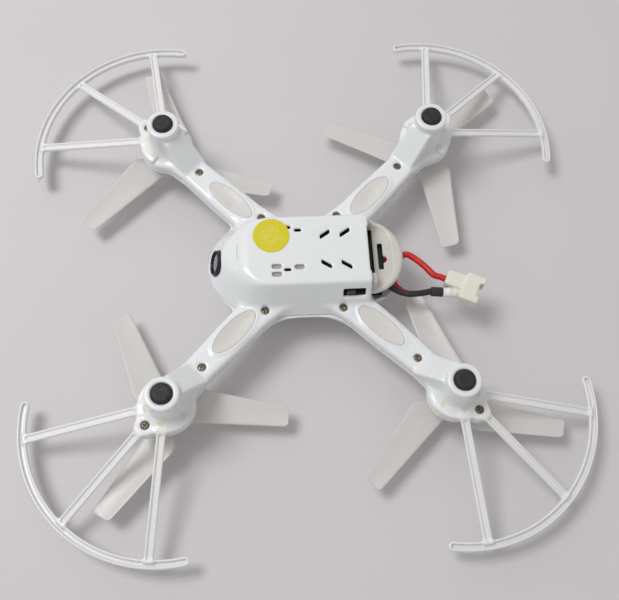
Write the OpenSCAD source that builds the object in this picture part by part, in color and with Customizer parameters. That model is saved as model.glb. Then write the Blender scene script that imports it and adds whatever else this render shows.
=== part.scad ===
// Mini palm drone: two-part airframe, four guarded rotors, nose camera, slide-out battery.
// The nose points to -Y, the tail to +Y and the drone's left side to +X.
// The four rubber feet stand on the plane Z = 0. All sizes are in millimetres.

/* [Layout] */
// Sideways distance from the centreline to a motor axis
motor_x = 34.3; // [34:0.1:36]
// Lengthwise distance from the centre to a motor axis
motor_y = 33.5; // [33:0.1:35]
// Height of the flat belly above the feet
belly_z = 3.2; // [2.6:0.1:4]
// Height of the underside of the arms
arm_z = 10.2; // [10:0.1:10.6]
// Height of the parting plane between the two shells
part_z = 13; // [12.6:0.1:13.4]
// Height of the top of the canopy
canopy_z = 24.6; // [22:0.1:26]
// Wall thickness of the shells
wall = 0.9; // [0.8:0.05:1.1]

/* [Body] */
// Half width of the flat belly
belly_half = 8.6; // [8.2:0.1:9]
// Half width of the body at the underside of the arms
waist_half = 11.6; // [11.4:0.1:12]
// Half width of the body at the parting plane
rim_half = 13.4; // [13:0.1:13.8]
// Distance from the centre to the tip of the nose
nose_y = 23.8; // [23:0.1:25]
// Distance from the centre to the step behind the belly
belly_end_y = 15.4; // [15:0.1:15.8]
// Length of the tail behind the belly
tail_len = 8.8; // [8:0.1:10]
// Half width of the tail
tail_half = 9.8; // [9.4:0.1:10]

/* [Arms and pods] */
// Half width of an arm
arm_half = 3.9; // [3.6:0.1:4.2]
// Outside radius of the motor tube
tube_r = 3.95; // [3.8:0.05:4.2]
// Radius of the round pod around a motor
pod_r = 6.6; // [6.2:0.1:7]
// Sideways and lengthwise offset of the guard screw from the motor axis
guard_screw_off = 4.7; // [4.5:0.1:4.9]
// Length of an arm light lens
lens_len = 13.6; // [12:0.1:14]
// Width of an arm light lens
lens_w = 5.0; // [4.6:0.1:5.2]
// Offset of the lens centre from the drone's centre, along X and along Y
lens_off = 17.5; // [17.2:0.1:17.8]

/* [Rotors] */
// Height of the mid plane of the blades
prop_z = 19; // [18.8:0.1:19.6]
// Radius of the circle that the blade tips sweep
prop_r = 28.2; // [26:0.1:28.6]
// Thickness of a blade
blade_t = 0.6; // [0.5:0.05:0.8]
// Pitch of a blade in degrees
blade_pitch = 11; // [6:1:13]
// Radius of the propeller hub
hub_r = 2.3; // [2:0.1:2.6]
// Radius of the motor shaft
shaft_r = 0.4; // [0.4:0.05:0.5]
// Radius of the motor can
can_r = 3.0; // [2.9:0.05:3]

/* [Guards] */
// Outside radius of the guard arc
guard_r = 33.6; // [33:0.1:34.5]
// Outward offset of the arc's centre from the motor axis, along X and along Y
guard_off = 1.8; // [1.5:0.1:2.2]
// Height of the lower edge of the arc
guard_z = 17.6; // [16.6:0.1:18]
// Height of the arc band
guard_h = 3.2; // [2.6:0.1:3.6]
// Width of the arc band and of the spokes
guard_w = 2.1; // [1.9:0.1:2.4]

/* [Battery and leads] */
// Width of the battery pouch
cell_w = 15.6; // [14:0.1:16]
// Length of the battery pouch
cell_len = 27; // [24:0.1:28]
// Thickness of the battery pouch
cell_t = 5.2; // [4.6:0.1:5.2]
// Radius of a lead's insulation
lead_r = 0.8; // [0.6:0.05:0.85]

/* [Hidden] */
$fn = 40;
eps = 0.01;
slice_h = 0.2;

// Corner signs [x, y]: +X is the left side and -Y is the front.
FRONT_LEFT = [1, -1];
FRONT_RIGHT = [-1, -1];
REAR_LEFT = [1, 1];
REAR_RIGHT = [-1, 1];
CORNERS = [FRONT_LEFT, FRONT_RIGHT, REAR_LEFT, REAR_RIGHT];

// Arms
arm_floor = 0.9;
arm_roof_z = 15.2;
arm_start = 12;
arm_screw_xy = [25.8, 25.3];
body_screw_x = 12.4;
body_screw_front_y = -10.1;
body_screw_rear_y = 8.7;

// Motor stack, from the foot upwards
foot_r = 2.4;
foot_seat_z = 0.9;
can_z = 2.0;
can_top_z = 16.2;
tube_top_z = 15.9;
shaft_run = 0.04;
can_bore_r = can_r + 0.02;

// Screws
screw_head_r = 0.95;
screw_head_h = 0.7;
screw_shank_r = 0.5;
screw_fit = 0.02;
guard_plate_t = 1.2;
guard_plate_z = 9.7;
lobe_r = 2.4;
spoke_t = 0.8;

// Battery bay and door
door_z = 8.3;
door_t = 1.1;
cell_z = 10.5;
cell_end_y = 20.4;
hood_roof_z = 15.95;
hood_top_z = 16.8;
bay_half = cell_w / 2 + 0.5;
bay_front_y = -14;
tail_end_y = belly_end_y + tail_len;

// Board and switch
board_z = 6.0;
board_t = 0.8;
switch_y = 11.2;
switch_z = 6.9;

// Camera
camera_tilt = 21;
camera_y = -21.6;
camera_cz = 9.4;
camera_r = 3.1;

// ---- helpers ----

// Places a shape drawn in the rear left quadrant into the corner with the given signs.
module corner(c) {
    mirror([c[0] < 0 ? 1 : 0, 0, 0]) mirror([0, c[1] < 0 ? 1 : 0, 0]) children();
}

// Places a shape on the motor axis of the rear left quadrant.
module at_motor() {
    translate([motor_x, motor_y, 0]) children();
}

// A cylinder between two heights.
module post(r, z0, z1) {
    translate([0, 0, z0]) cylinder(r = r, h = z1 - z0);
}

// A box given by its lowest and highest corners.
module box(low, high) {
    translate(low) cube(high - low);
}

// Points of an ellipse with half axes a and b.
function ellipse(a, b, n = 36) = [for (i = [0 : n - 1]) [a * cos(360 * i / n), b * sin(360 * i / n)]];

// Mirrors a right-hand outline onto the left and closes it.
function both_sides(pts) = concat(pts, [for (i = [len(pts) - 1 : -1 : 0]) [-pts[i][0], pts[i][1]]]);

// Point at t on a Catmull-Rom curve through p1 and p2.
function spline(p0, p1, p2, p3, t) =
    0.5 * (2 * p1 + (p2 - p0) * t + (2 * p0 - 5 * p1 + 4 * p2 - p3) * t * t
    + (3 * p1 - p0 - 3 * p2 + p3) * t * t * t);

// A smooth path through the given points.
function smooth_path(p, steps) = concat(
    [for (i = [0 : len(p) - 2], s = [0 : steps - 1])
        spline(p[max(i - 1, 0)], p[i], p[i + 1], p[min(i + 2, len(p) - 1)], s / steps)],
    [p[len(p) - 1]]);

function unit(v) = v / norm(v);

// A round wire of radius r along a smooth path; side is a vector that is never along the wire.
module wire(points, r, steps = 4, sides = 12, side = [0, 0, 1]) {
    path = smooth_path(points, steps);
    n = len(path);
    dirs = [for (i = [0 : n - 1]) unit(path[min(i + 1, n - 1)] - path[max(i - 1, 0)])];
    rings = [for (i = [0 : n - 1])
        let (u = unit(cross(dirs[i], side)), v = cross(dirs[i], u))
        for (k = [0 : sides - 1]) path[i] + r * (cos(360 * k / sides) * u + sin(360 * k / sides) * v)];
    skin = [for (i = [0 : n - 2], k = [0 : sides - 1])
        let (a = i * sides + k, b = i * sides + (k + 1) % sides) [a, a + sides, b + sides, b]];
    first = [for (k = [0 : sides - 1]) k];
    last = [for (k = [sides - 1 : -1 : 0]) (n - 1) * sides + k];
    polyhedron(points = rings, faces = concat(skin, [first], [last]), convexity = 6);
}

// ---- body outlines ----

module belly_outline() {
    polygon(both_sides([[belly_half, belly_end_y], [belly_half, -11], [6, -16]]));
}

module waist_outline() {
    polygon(both_sides([[waist_half, belly_end_y], [waist_half, -13], [8, -20], [4, 0.4 - nose_y]]));
}

module rim_outline() {
    polygon(both_sides([[rim_half - 1, belly_end_y], [rim_half, 8], [rim_half, -8],
        [rim_half - 0.6, -15], [9, -20.6], [4.4, -nose_y]]));
}

// Half an ellipse behind the belly, running forward by reach as a straight strip.
module tail_outline(shrink = 0, reach = 0) {
    half = tail_half - shrink;
    translate([0, belly_end_y]) {
        intersection() {
            polygon(ellipse(half, tail_len - shrink, 48));
            translate([-tail_half, 0]) square([2 * tail_half, tail_len]);
        }
        translate([-half, -reach]) square([2 * half, reach + eps]);
    }
}

// The body below the parting plane, drawn in by inset; its straight rim runs on up to roof_z.
module lower_body(inset, floor_z, roof_z) {
    hull() {
        translate([0, 0, floor_z]) linear_extrude(slice_h) offset(delta = -inset) belly_outline();
        translate([0, 0, arm_z + slice_h]) linear_extrude(slice_h) offset(delta = -inset) waist_outline();
        translate([0, 0, part_z - slice_h]) linear_extrude(roof_z - part_z + slice_h)
            offset(delta = -inset) rim_outline();
    }
}

// The canopy dome, drawn in by inset; its straight rim runs on down to floor_z.
module upper_body(inset, floor_z) {
    height = canopy_z - part_z - inset - slice_h;
    hull() {
        translate([0, 0, floor_z]) linear_extrude(part_z - floor_z) offset(delta = -inset) rim_outline();
        for (a = [0 : 13 : 65])
            translate([0, 0, part_z + height * sin(a) / sin(65)])
                linear_extrude(slice_h) scale(cos(a)) offset(delta = -inset) rim_outline();
    }
}

// Plan outline of an arm, from inside the body to tip, which lies in the pod.
module arm_plan(inset = 0, tip = 45.6) {
    half = arm_half - inset;
    rotate(45) polygon([[arm_start, -half - 1.6], [arm_start, half - 0.6], [22, half - 0.2], [30, half],
        [38, half - 0.4], [tip, half], [tip, -half], [38, 0.4 - half], [30, -half], [22, -half - 0.3]]);
}

// Plan outline of a pod: a circle around the motor and a lobe for the guard screw.
module pod_plan() {
    reach = guard_screw_off * sqrt(2);
    neck = lobe_r - 0.15;
    at_motor() rotate(45) {
        circle(pod_r);
        translate([reach, 0]) circle(lobe_r);
        translate([0, -neck]) square([reach, 2 * neck]);
    }
}

// Sloped web between an arm and its motor tube, on the side of the tube that faces the body.
module tube_gusset() {
    half = tube_r - 0.85;
    off_line = (motor_y - motor_x) / sqrt(2);
    rotate(45) translate([0, off_line + half, 0]) rotate([90, 0, 0]) linear_extrude(2 * half)
        polygon([[37.4, arm_z + 0.6], [37.4, arm_z - 0.2], [43.9, 3.1], [45.8, 3.1], [45.8, arm_z + 0.6]]);
}

// ---- screws ----

module screw(length) {
    color("dimgray") difference() {
        union() {
            post(screw_head_r, 0, screw_head_h);
            post(screw_shank_r, screw_head_h - eps, length);
        }
        for (a = [0, 90])
            rotate(a) translate([-0.6, -0.12, -eps]) cube([1.2, 0.24, 0.35]);
    }
}

// Hole for a screw whose head sits at z.
module screw_hole(z) {
    post(screw_head_r + 0.08, z - 4, z + screw_head_h);
    post(screw_shank_r + screw_fit, z, z + 12);
}

module at_arm_screws() {
    for (c = CORNERS) corner(c) translate([arm_screw_xy[0], arm_screw_xy[1], 0]) children();
}

module at_body_screws() {
    for (x = [-body_screw_x, body_screw_x], y = [body_screw_front_y, body_screw_rear_y])
        translate([x, y, 0]) children();
}

module at_guard_screws() {
    for (c = CORNERS) corner(c) at_motor() translate([guard_screw_off, guard_screw_off, 0]) children();
}

arm_screw_z = arm_z + 0.5;
guard_screw_z = guard_plate_z + 0.3;

module arm_screws() {
    at_arm_screws() translate([0, 0, arm_screw_z]) screw(3.6);
}

module body_screws() {
    at_body_screws() translate([0, 0, arm_screw_z]) screw(3.6);
}

module guard_screws() {
    at_guard_screws() translate([0, 0, guard_screw_z]) screw(3.6);
}

// ---- bottom shell ----

module belly_vents() {
    for (s = [-1, 1]) {
        for (p = [[3.9, 4.8], [4.2, 9.6]])
            translate([s * p[0], p[1], 0]) rotate(-s * 33) cube([0.8, 3.0, 6], center = true);
        translate([s * 5, -1.6, 0]) cube([0.7, 1.7, 6], center = true);
        translate([s * 5, -4.4, 0]) cube([0.7, 1.5, 6], center = true);
    }
}

module lens_window(grow) {
    for (c = CORNERS) corner(c) translate([lens_off, lens_off, 0]) rotate(45)
        linear_extrude(part_z) polygon(ellipse(lens_len / 2 + grow, lens_w / 2 + grow));
}

// Tilted axis of the nose camera, looking along the local +Z.
module at_camera() {
    translate([0, camera_y, camera_cz]) rotate([90 + camera_tilt, 0, 0]) children();
}

// Room inside the body and the arms; the motor tubes stand in it.
module lower_room() {
    difference() {
        union() {
            lower_body(wall, belly_z + wall, part_z + 2);
            for (c = CORNERS) corner(c)
                translate([0, 0, arm_z + arm_floor]) linear_extrude(part_z) arm_plan(wall, 43);
        }
        at_body_screws() post(1.9, arm_z, part_z + 3);
        at_arm_screws() post(1.7, arm_z, part_z + 3);
        for (x = [-5, 5], y = [-10, 5]) translate([x, y, 0]) post(0.9, belly_z, board_z);
    }
}

module bottom_shell() {
    pod_z = guard_plate_z + guard_plate_t;
    color("white") difference() {
        union() {
            lower_body(0, belly_z, part_z + 0.4);
            for (c = CORNERS) corner(c) {
                translate([0, 0, arm_z]) linear_extrude(part_z - arm_z + 0.6) arm_plan();
                translate([0, 0, pod_z]) linear_extrude(part_z - pod_z + 0.8) pod_plan();
                at_motor() post(tube_r, foot_seat_z, part_z + 1);
                tube_gusset();
            }
        }
        lower_room();
        box([-60, -60, part_z], [60, 60, part_z + 10]);
        for (c = CORNERS) corner(c) at_motor() {
            post(can_bore_r, can_z, part_z + 11);
            post(foot_r, 0, can_z + 1);
        }
        for (c = CORNERS) corner(c)
            rotate(45) translate([38, -0.9, arm_z + arm_floor + 0.1]) cube([8, 1.8, 4]);
        at_body_screws() screw_hole(arm_screw_z);
        at_arm_screws() screw_hole(arm_screw_z);
        at_guard_screws() post(screw_shank_r + screw_fit, guard_plate_z, part_z + 2);
        lens_window(0.05);
        translate([0, 0, belly_z]) belly_vents();
        at_camera() post(camera_r + 0.05, -5, 6);
        box([-30, switch_y - 2.65, switch_z - 1.3], [-7.6, switch_y + 2.65, switch_z + 1.2]);
        box([-bay_half - 0.7, belly_end_y - 2.5, door_z - 0.1],
            [bay_half + 0.7, belly_end_y + 2, part_z + 2]);
        box([-5.8, belly_end_y - 0.35, belly_z - 1], [5.8, belly_end_y + 1, door_z - 0.1]);
    }
}

// ---- top shell ----

// Room inside the canopy and the arm covers; the screw posts and motor tubes stand in it.
module upper_room() {
    difference() {
        union() {
            upper_body(wall, part_z - 1.5);
            for (c = CORNERS) corner(c)
                translate([0, 0, part_z - 2])
                    linear_extrude(arm_roof_z - wall - part_z + 2) arm_plan(wall, 43);
        }
        at_body_screws() post(1.5, part_z - 3, arm_roof_z);
        at_arm_screws() post(1.7, part_z - 3, arm_roof_z);
    }
}

module top_shell() {
    color("white") difference() {
        union() {
            difference() {
                union() {
                    upper_body(0, part_z - 0.4);
                    for (c = CORNERS) corner(c) {
                        translate([0, 0, part_z - 0.6])
                            linear_extrude(arm_roof_z - part_z + 0.6) arm_plan();
                        translate([0, 0, part_z - 0.8]) linear_extrude(1.8) pod_plan();
                        at_motor() post(pod_r - 0.4, part_z - 1, arm_roof_z + 0.2);
                        at_motor() post(tube_r, part_z - 1.2, tube_top_z);
                    }
                }
                upper_room();
                box([-60, -60, part_z - 5], [60, 60, part_z]);
            }
            tail_hood();
        }
        for (c = CORNERS) corner(c) at_motor() post(can_bore_r, part_z - 1, can_top_z + 1);
        for (c = CORNERS) corner(c) rotate(45) translate([38, -0.9, part_z - 1]) cube([8, 1.8, 1.25]);
        at_body_screws() post(screw_shank_r + screw_fit, part_z - 1, part_z + 1.4);
        at_arm_screws() post(screw_shank_r + screw_fit, part_z - 1, part_z + 1.4);
        at_guard_screws() post(screw_shank_r + screw_fit, part_z - 1, part_z + 0.7);
        battery_bay();
    }
}

// Hood over the battery behind the canopy, open below and behind.
module tail_hood() {
    low = door_z + door_t + 1.4;
    difference() {
        translate([0, 0, low]) linear_extrude(hood_top_z - low) tail_outline(0, 2);
        translate([0, 0, -1]) linear_extrude(hood_roof_z + 1) tail_outline(wall, 3);
        box([-20, belly_end_y - 3, 0], [-tail_half + 4, tail_end_y + 1, 14.2]);
        box([-20, belly_end_y - 3, 0], [20, belly_end_y + 0.45, part_z + 0.3]);
    }
}

// Clear channel through which the battery and its leads slide out.
module battery_bay() {
    box([-bay_half, bay_front_y, part_z - 4], [bay_half, tail_end_y + 2, hood_roof_z - 0.1]);
}

// ---- battery door ----

module battery_door() {
    color("ivory") difference() {
        union() {
            difference() {
                translate([0, 0, door_z]) linear_extrude(door_t + 0.6) tail_outline(0.05);
                translate([0, 0, door_z + door_t]) linear_extrude(2) tail_outline(1.2);
                translate([0, 0, door_z - 1]) linear_extrude(1.35) tail_outline(1.9);
                box([-20, belly_end_y - 1, 0], [20, belly_end_y + 0.15, 20]);
            }
            box([-bay_half - 0.3, belly_end_y - 2.4, door_z],
                [bay_half + 0.3, belly_end_y + 0.5, door_z + door_t]);
            box([-8.4, belly_end_y + 0.15, door_z - 3], [8.4, belly_end_y + 1.3, door_z + door_t]);
        }
        box([-5.75, belly_end_y - 3, 0], [5.75, belly_end_y + 1.32, 20]);
        box([-3.4, 17.9, 0], [3.4, 19.1, 20]);
        translate([-0.4, 19.2, 0]) post(0.9, 0, 20);
        box([-20, belly_end_y - 3, door_z + door_t], [20, belly_end_y + 1.4, 20]);
    }
}

// ---- battery, leads and plug ----

module battery_cell() {
    low = [-cell_w / 2, cell_end_y - cell_len, cell_z];
    color("silver") difference() {
        box(low, [cell_w / 2, cell_end_y - 1.6, cell_z + cell_t]);
        for (s = [-1, 1]) translate([s * cell_w / 2, 0, cell_z + cell_t]) rotate([0, 45, 0])
            cube([1, 80, 1], center = true);
    }
}

module battery_board() {
    inner = cell_end_y - 1.6;
    outer = cell_end_y - 0.8;
    color("darkgreen") box([1 - cell_w / 2, inner, cell_z + 0.6], [cell_w / 2 - 1, outer, cell_z + 4.6]);
    color("black") box([3.6, outer, cell_z + 2], [6.2, cell_end_y, cell_z + 4]);
}

plug_len = 9.7;
plug_w = 7.3;
plug_t = 4.0;
plug_shoulder = 4.6;
plug_turn = 26;
plug_back = [-5.55, 34.4, 12.2];
pin_pitch = 2.5;
collar_start = [-8.75, 33.5, 12.2];
collar_turn = 6;
collar_len = 4.7;

// Plug frame: local +Y runs out of the plug's mouth.
module at_plug() {
    translate(plug_back) rotate(plug_turn) children();
}

// Centre line of the collar, counted from its open end towards the plug.
function on_collar(along) = collar_start + along * [-sin(collar_turn), cos(collar_turn), 0];

lead_start_y = cell_end_y - 0.48;
shrink_start = [-8.5, 30.3, 12.2];
red_entry = plug_back + 0.3 * [cos(plug_turn), sin(plug_turn), 0];

module red_lead() {
    color("red") wire([
        [0.4, lead_start_y, 12.8], [0.4, 20.3, 12.8], [-0.7, 21.3, 12.9], [-3.2, 21.0, 13.2],
        [-6.0, 21.0, 13.6], [-7.3, 22.6, 13.6], [-7.9, 24.3, 13.8], [-7.7, 25.0, 14.7],
        [-6.7, 23.7, 15.0], [-4.8, 22.2, 14.9], [-2.0, 22.2, 14.6], [0.5, 23.2, 13.2],
        [1.7, 25.3, 12.2], [0.6, 27.4, 12.2], [-1.6, 29.7, 12.2], [-4.0, 31.7, 12.2],
        [-4.7, 33.4, 12.2], red_entry + [0.07, -0.14, 0]], lead_r);
}

module black_lead() {
    color("black") wire([
        [-6.2, lead_start_y, 12.0], [-6.2, 20.3, 11.95], [-7.4, 21.5, 11.9], [-8.3, 22.9, 12.0],
        [-8.9, 25.0, 12.0], [-8.9, 27.4, 12.1], shrink_start], lead_r);
}

module heat_shrink() {
    color("black") wire([shrink_start + [0.03, 0.35, 0], on_collar(-1.5), on_collar(-0.1)], 1.15);
}

module plug_housing() {
    color("ivory") difference() {
        union() {
            at_plug() {
                box([-1.4, 0, -plug_t / 2 + 0.3], [2.4, plug_shoulder + 0.4, plug_t / 2 - 0.3]);
                box([-plug_w / 2, plug_shoulder, -plug_t / 2], [plug_w / 2, plug_len, plug_t / 2]);
            }
            translate(collar_start) rotate([-90, 0, collar_turn]) cylinder(r = 1.2, h = collar_len);
        }
        at_plug() {
            box([-plug_w / 2 + 0.7, 5.8, -plug_t / 2 + 0.7],
                [plug_w / 2 - 0.7, plug_len + 1, plug_t / 2 - 0.7]);
            for (s = [-1, 1]) translate([s * pin_pitch / 2, 0, 0])
                box([-0.75, 5, -0.75], [0.75, 6.4, 0.75]);
            box([-1.9, 8.5, -plug_t], [1.9, plug_len + 1, plug_t]);
        }
    }
}

module plug_contacts() {
    color("gold") at_plug() for (s = [-1, 1]) translate([s * pin_pitch / 2, 0, 0])
        box([-0.35, 5, -0.35], [0.35, 8.3, 0.35]);
}

// ---- electronics ----

module main_board() {
    color("darkgreen") difference() {
        translate([0, 0, board_z]) linear_extrude(board_t)
            polygon(both_sides([[7.2, 12.8], [7.2, -9], [4.6, -13.2]]));
        for (x = [-6, 6], y = [-7, 2]) translate([x, y, 0]) post(0.5, 0, 20);
    }
}

module board_chips() {
    top = board_z + board_t;
    color("black") {
        box([-2.5, -4, top], [2.5, 1, top + 0.9]);
        box([-5.8, -9, top], [-2.8, -6, top + 0.8]);
        box([2.4, -10.4, top], [5.8, -7, top + 0.8]);
        for (x = [-6.4, 4.2], y = [-1.5, 3]) box([x, y, top], [x + 1.6, y + 1.4, top + 0.6]);
    }
    color("silver") {
        box([-1.6, 4, top], [1.6, 5.2, top + 0.9]);
        box([-5, 7.5, board_z - 0.8], [-2, 9.5, board_z]);
        box([1, -3, board_z - 0.8], [4, 0, board_z]);
    }
}

module antenna_wire() {
    color("gray") wire([[6.6, -6, board_z + board_t + 0.4], [7.8, -7, 9], [9.2, -4, 9.6], [9.2, 2, 9.6],
        [9.2, 8, 9.6]], 0.35, 4, 10, [1, 0, 0.3]);
}

module switch_body() {
    low = board_z + board_t;
    color("black") difference() {
        union() {
            box([-8.5, switch_y - 3.2, low], [-6.0, switch_y + 3, low + 1.4]);
            box([-8.2, switch_y - 3.1, 5.6], [-7.8, switch_y + 2.9, low + 1.5]);
        }
        box([-9.5, switch_y - 2.6, low + 0.25], [-6.6, switch_y + 2.6, low + 1.15]);
    }
}

module switch_slider() {
    low = board_z + board_t;
    color("black") {
        box([-8.8, switch_y - 2.0, low + 0.3], [-6.8, switch_y + 0.4, low + 1.1]);
        box([-10.2, switch_y - 1.8, switch_z - 0.8], [-8.8, switch_y + 0.2, switch_z + 0.8]);
    }
}

// ---- camera ----

module camera_board() {
    color("darkgreen") at_camera() box([-3.6, -3.2, -5.6], [3.6, 3.2, -5.0]);
}

module camera_barrel() {
    color("black") at_camera() difference() {
        union() {
            post(2.6, -5, -0.3);
            post(3.0, -5, -3.4);
        }
        post(1.9, -1, 1);
    }
}

module camera_bezel() {
    color("midnightblue") at_camera() rotate_extrude()
        polygon([[2.62, -1.6], [camera_r, -1.6], [camera_r, 0.7], [camera_r - 0.15, 0.85], [2.62, 0.75]]);
}

module camera_glass() {
    color("dimgray") at_camera() intersection() {
        post(2.58, -0.28, 1.5);
        translate([0, 0, -5.4]) sphere(r = 6);
    }
}

// ---- arm lights ----

module arm_lens(c) {
    color("ivory") corner(c) translate([lens_off, lens_off, 0]) rotate(45) {
        translate([0, 0, arm_z - 0.4]) linear_extrude(arm_floor + 0.4)
            polygon(ellipse(lens_len / 2, lens_w / 2));
        translate([0, 0, arm_z + arm_floor - eps]) linear_extrude(0.4)
            polygon(ellipse(lens_len / 2 - 0.4, lens_w / 2 - 0.1));
    }
}

module arm_leds() {
    low_z = arm_z + arm_floor + 0.45;
    color("lightyellow") for (c = CORNERS) corner(c) translate([lens_off, lens_off, 0]) rotate(45)
        box([-1.6, -1, low_z], [1.6, 1, low_z + 0.8]);
}

// Wires from the board to the motors; side is 1 or -1 across the arm.
module motor_wires(side) {
    z = arm_z + arm_floor + 1.9;
    root = [[4.9, 11.5 + side * 0.45, 7.1], [5.6, 11.6 + side * 0.45, 8.9], [9.2, 12.0 + side * 0.4, 9.5],
        [11.2, 12.9 + side * 0.4, z - 0.6]];
    arm = [for (p = [[22, 0.9], [32, 2.15], [39.5, 2.15], [43, 0.45], [44.9, 0.45]])
        [(p[0] - side * p[1]) / sqrt(2), (p[0] + side * p[1]) / sqrt(2), p[0] > 42 ? z - 0.7 : z]];
    for (c = CORNERS) corner(c) wire(concat(root, arm), 0.28, 3, 8, [0.3, -0.2, 1]);
}

module motor_wires_red() {
    color("red") motor_wires(1);
}

module motor_wires_blue() {
    color("blue") motor_wires(-1);
}

// ---- motors and propellers ----

module motor_can(c) {
    color("silver") corner(c) at_motor() difference() {
        union() {
            post(can_r, can_z, can_top_z);
            post(1.2, can_top_z - eps, can_top_z + 0.5);
        }
        post(can_r - 0.3, can_z - 1, can_top_z - 0.8);
        post(shaft_r + shaft_run, 0, can_top_z + 2);
    }
}

module motor_end_caps() {
    color("black") for (c = CORNERS) corner(c) at_motor() difference() {
        post(can_r - 0.3, can_z, can_z + 1.4);
        post(shaft_r + shaft_run, can_z + 0.6, can_z + 3);
    }
}

module motor_shaft(c) {
    color("lightgray") corner(c) at_motor() post(shaft_r, can_z + 0.7, prop_z + 1.2);
}

// Blade plan: straight leading edge, wide angular heel, squared tip. Local +X runs outwards.
function blade_plan() = [
    [1.2, -1.4], [3.4, -2.0], [prop_r - 0.7, -2.2], [prop_r - 0.2, -1.7], [prop_r - 0.2, 1.9],
    [prop_r - 0.7, 2.4], [12, 5.2], [7.6, 6.2], [5.4, 5.4], [3.2, 3.0], [1.2, 1.6]];

// hand is 1 when the rotor turns clockwise seen from above, and -1 for its mirror image.
module propeller(c, angle, hand) {
    color("whitesmoke") translate([c[0] * motor_x, c[1] * motor_y, 0]) rotate(angle)
        mirror([0, hand < 0 ? 1 : 0, 0]) difference() {
            union() {
                post(hub_r, prop_z - 1.9, prop_z + 1.4);
                post(1.5, prop_z + 1.4 - eps, prop_z + 1.9);
                for (a = [0, 120, 240]) rotate(a) translate([0, 0, prop_z])
                    rotate([-blade_pitch, 0, 0]) translate([0, 0, -blade_t / 2])
                        linear_extrude(blade_t) polygon(blade_plan());
            }
            post(shaft_r, prop_z - 3, prop_z + 1.2);
        }
}

// ---- guards ----

// One spoke from the root plate up to the arc, between two plan points, with a groove below.
module spoke(from, to) {
    across = to - from;
    rise = guard_z + 0.4 - (guard_plate_z + 0.1);
    length = norm([across[0], across[1], rise]);
    translate([from[0], from[1], guard_plate_z + 0.1])
        rotate([0, -asin(rise / length), atan2(across[1], across[0])]) difference() {
            translate([0, -guard_w / 2, 0]) cube([length, guard_w, spoke_t]);
            translate([0.8, -guard_w / 4, -1]) cube([length - 2.4, guard_w / 2, 1.5]);
        }
}

module guard(c) {
    arc_mid = guard_r - guard_w / 2;
    arc_centre = [motor_x + guard_off, motor_y + guard_off];
    side_end = 3.0;
    root = pod_r - 0.8;
    lobe_end = guard_screw_off + 1.4;
    color("white") corner(c) difference() {
        union() {
            translate([0, 0, guard_plate_z]) linear_extrude(guard_plate_t) difference() {
                pod_plan();
                at_motor() circle(tube_r + 0.1);
                at_motor() rotate(45) translate([-20, -20]) square([18.6, 40]);
            }
            translate([arc_centre[0], arc_centre[1], 0]) rotate(-10) rotate_extrude(angle = 110, $fn = 120)
                polygon([[guard_r - guard_w, guard_z], [arc_mid - 0.45, guard_z],
                    [arc_mid - 0.45, guard_z + 0.6], [arc_mid + 0.45, guard_z + 0.6],
                    [arc_mid + 0.45, guard_z], [guard_r, guard_z],
                    [guard_r, guard_z + guard_h], [guard_r - 0.7, guard_z + guard_h],
                    [guard_r - 0.7, guard_z + 1.3], [guard_r - guard_w, guard_z + 1.3]]);
            spoke([motor_x + root, motor_y + 1], [arc_centre[0] + arc_mid - 0.8, arc_centre[1] + side_end]);
            spoke([motor_x + 1, motor_y + root], [arc_centre[0] + side_end, arc_centre[1] + arc_mid - 0.8]);
            spoke([motor_x + lobe_end, motor_y + lobe_end], arc_centre + [1, 1] * (arc_mid - 0.6) * cos(45));
        }
        at_motor() translate([guard_screw_off, guard_screw_off, 0]) {
            post(screw_head_r + 0.08, guard_plate_z - 1, guard_screw_z + screw_head_h);
            post(screw_shank_r + screw_fit, guard_plate_z, guard_plate_z + 3);
        }
    }
}

// ---- feet and label ----

module foot_cap(c) {
    color("black") corner(c) at_motor() rotate_extrude()
        polygon([[0, 0], [1.7, 0], [2.2, 0.25], [foot_r, 0.7], [foot_r, can_z], [0, can_z]]);
}

module round_label() {
    color("gold") translate([3.9, -8, belly_z - 0.12]) cylinder(r = 4.35, h = 0.12, $fn = 64);
}

// ---- nodes ----

bottom_shell();
top_shell();
battery_door();
battery_cell();
battery_board();
red_lead();
black_lead();
heat_shrink();
plug_housing();
plug_contacts();
main_board();
board_chips();
antenna_wire();
switch_body();
switch_slider();
camera_board();
camera_barrel();
camera_bezel();
camera_glass();
arm_lens(FRONT_LEFT);  // arm_lens_front_left
arm_lens(FRONT_RIGHT);  // arm_lens_front_right
arm_lens(REAR_LEFT);  // arm_lens_rear_left
arm_lens(REAR_RIGHT);  // arm_lens_rear_right
arm_leds();
motor_wires_red();
motor_wires_blue();
motor_can(FRONT_LEFT);  // motor_can_front_left
motor_can(FRONT_RIGHT);  // motor_can_front_right
motor_can(REAR_LEFT);  // motor_can_rear_left
motor_can(REAR_RIGHT);  // motor_can_rear_right
motor_end_caps();
motor_shaft(FRONT_LEFT);  // motor_shaft_front_left
motor_shaft(FRONT_RIGHT);  // motor_shaft_front_right
motor_shaft(REAR_LEFT);  // motor_shaft_rear_left
motor_shaft(REAR_RIGHT);  // motor_shaft_rear_right
propeller(FRONT_LEFT, 229.3, 1);  // propeller_front_left
propeller(FRONT_RIGHT, 94.7, -1);  // propeller_front_right
propeller(REAR_LEFT, 169.9, -1);  // propeller_rear_left
propeller(REAR_RIGHT, 226.5, 1);  // propeller_rear_right
guard(FRONT_LEFT);  // guard_front_left
guard(FRONT_RIGHT);  // guard_front_right
guard(REAR_LEFT);  // guard_rear_left
guard(REAR_RIGHT);  // guard_rear_right
foot_cap(FRONT_LEFT);  // foot_cap_front_left
foot_cap(FRONT_RIGHT);  // foot_cap_front_right
foot_cap(REAR_LEFT);  // foot_cap_rear_left
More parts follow.
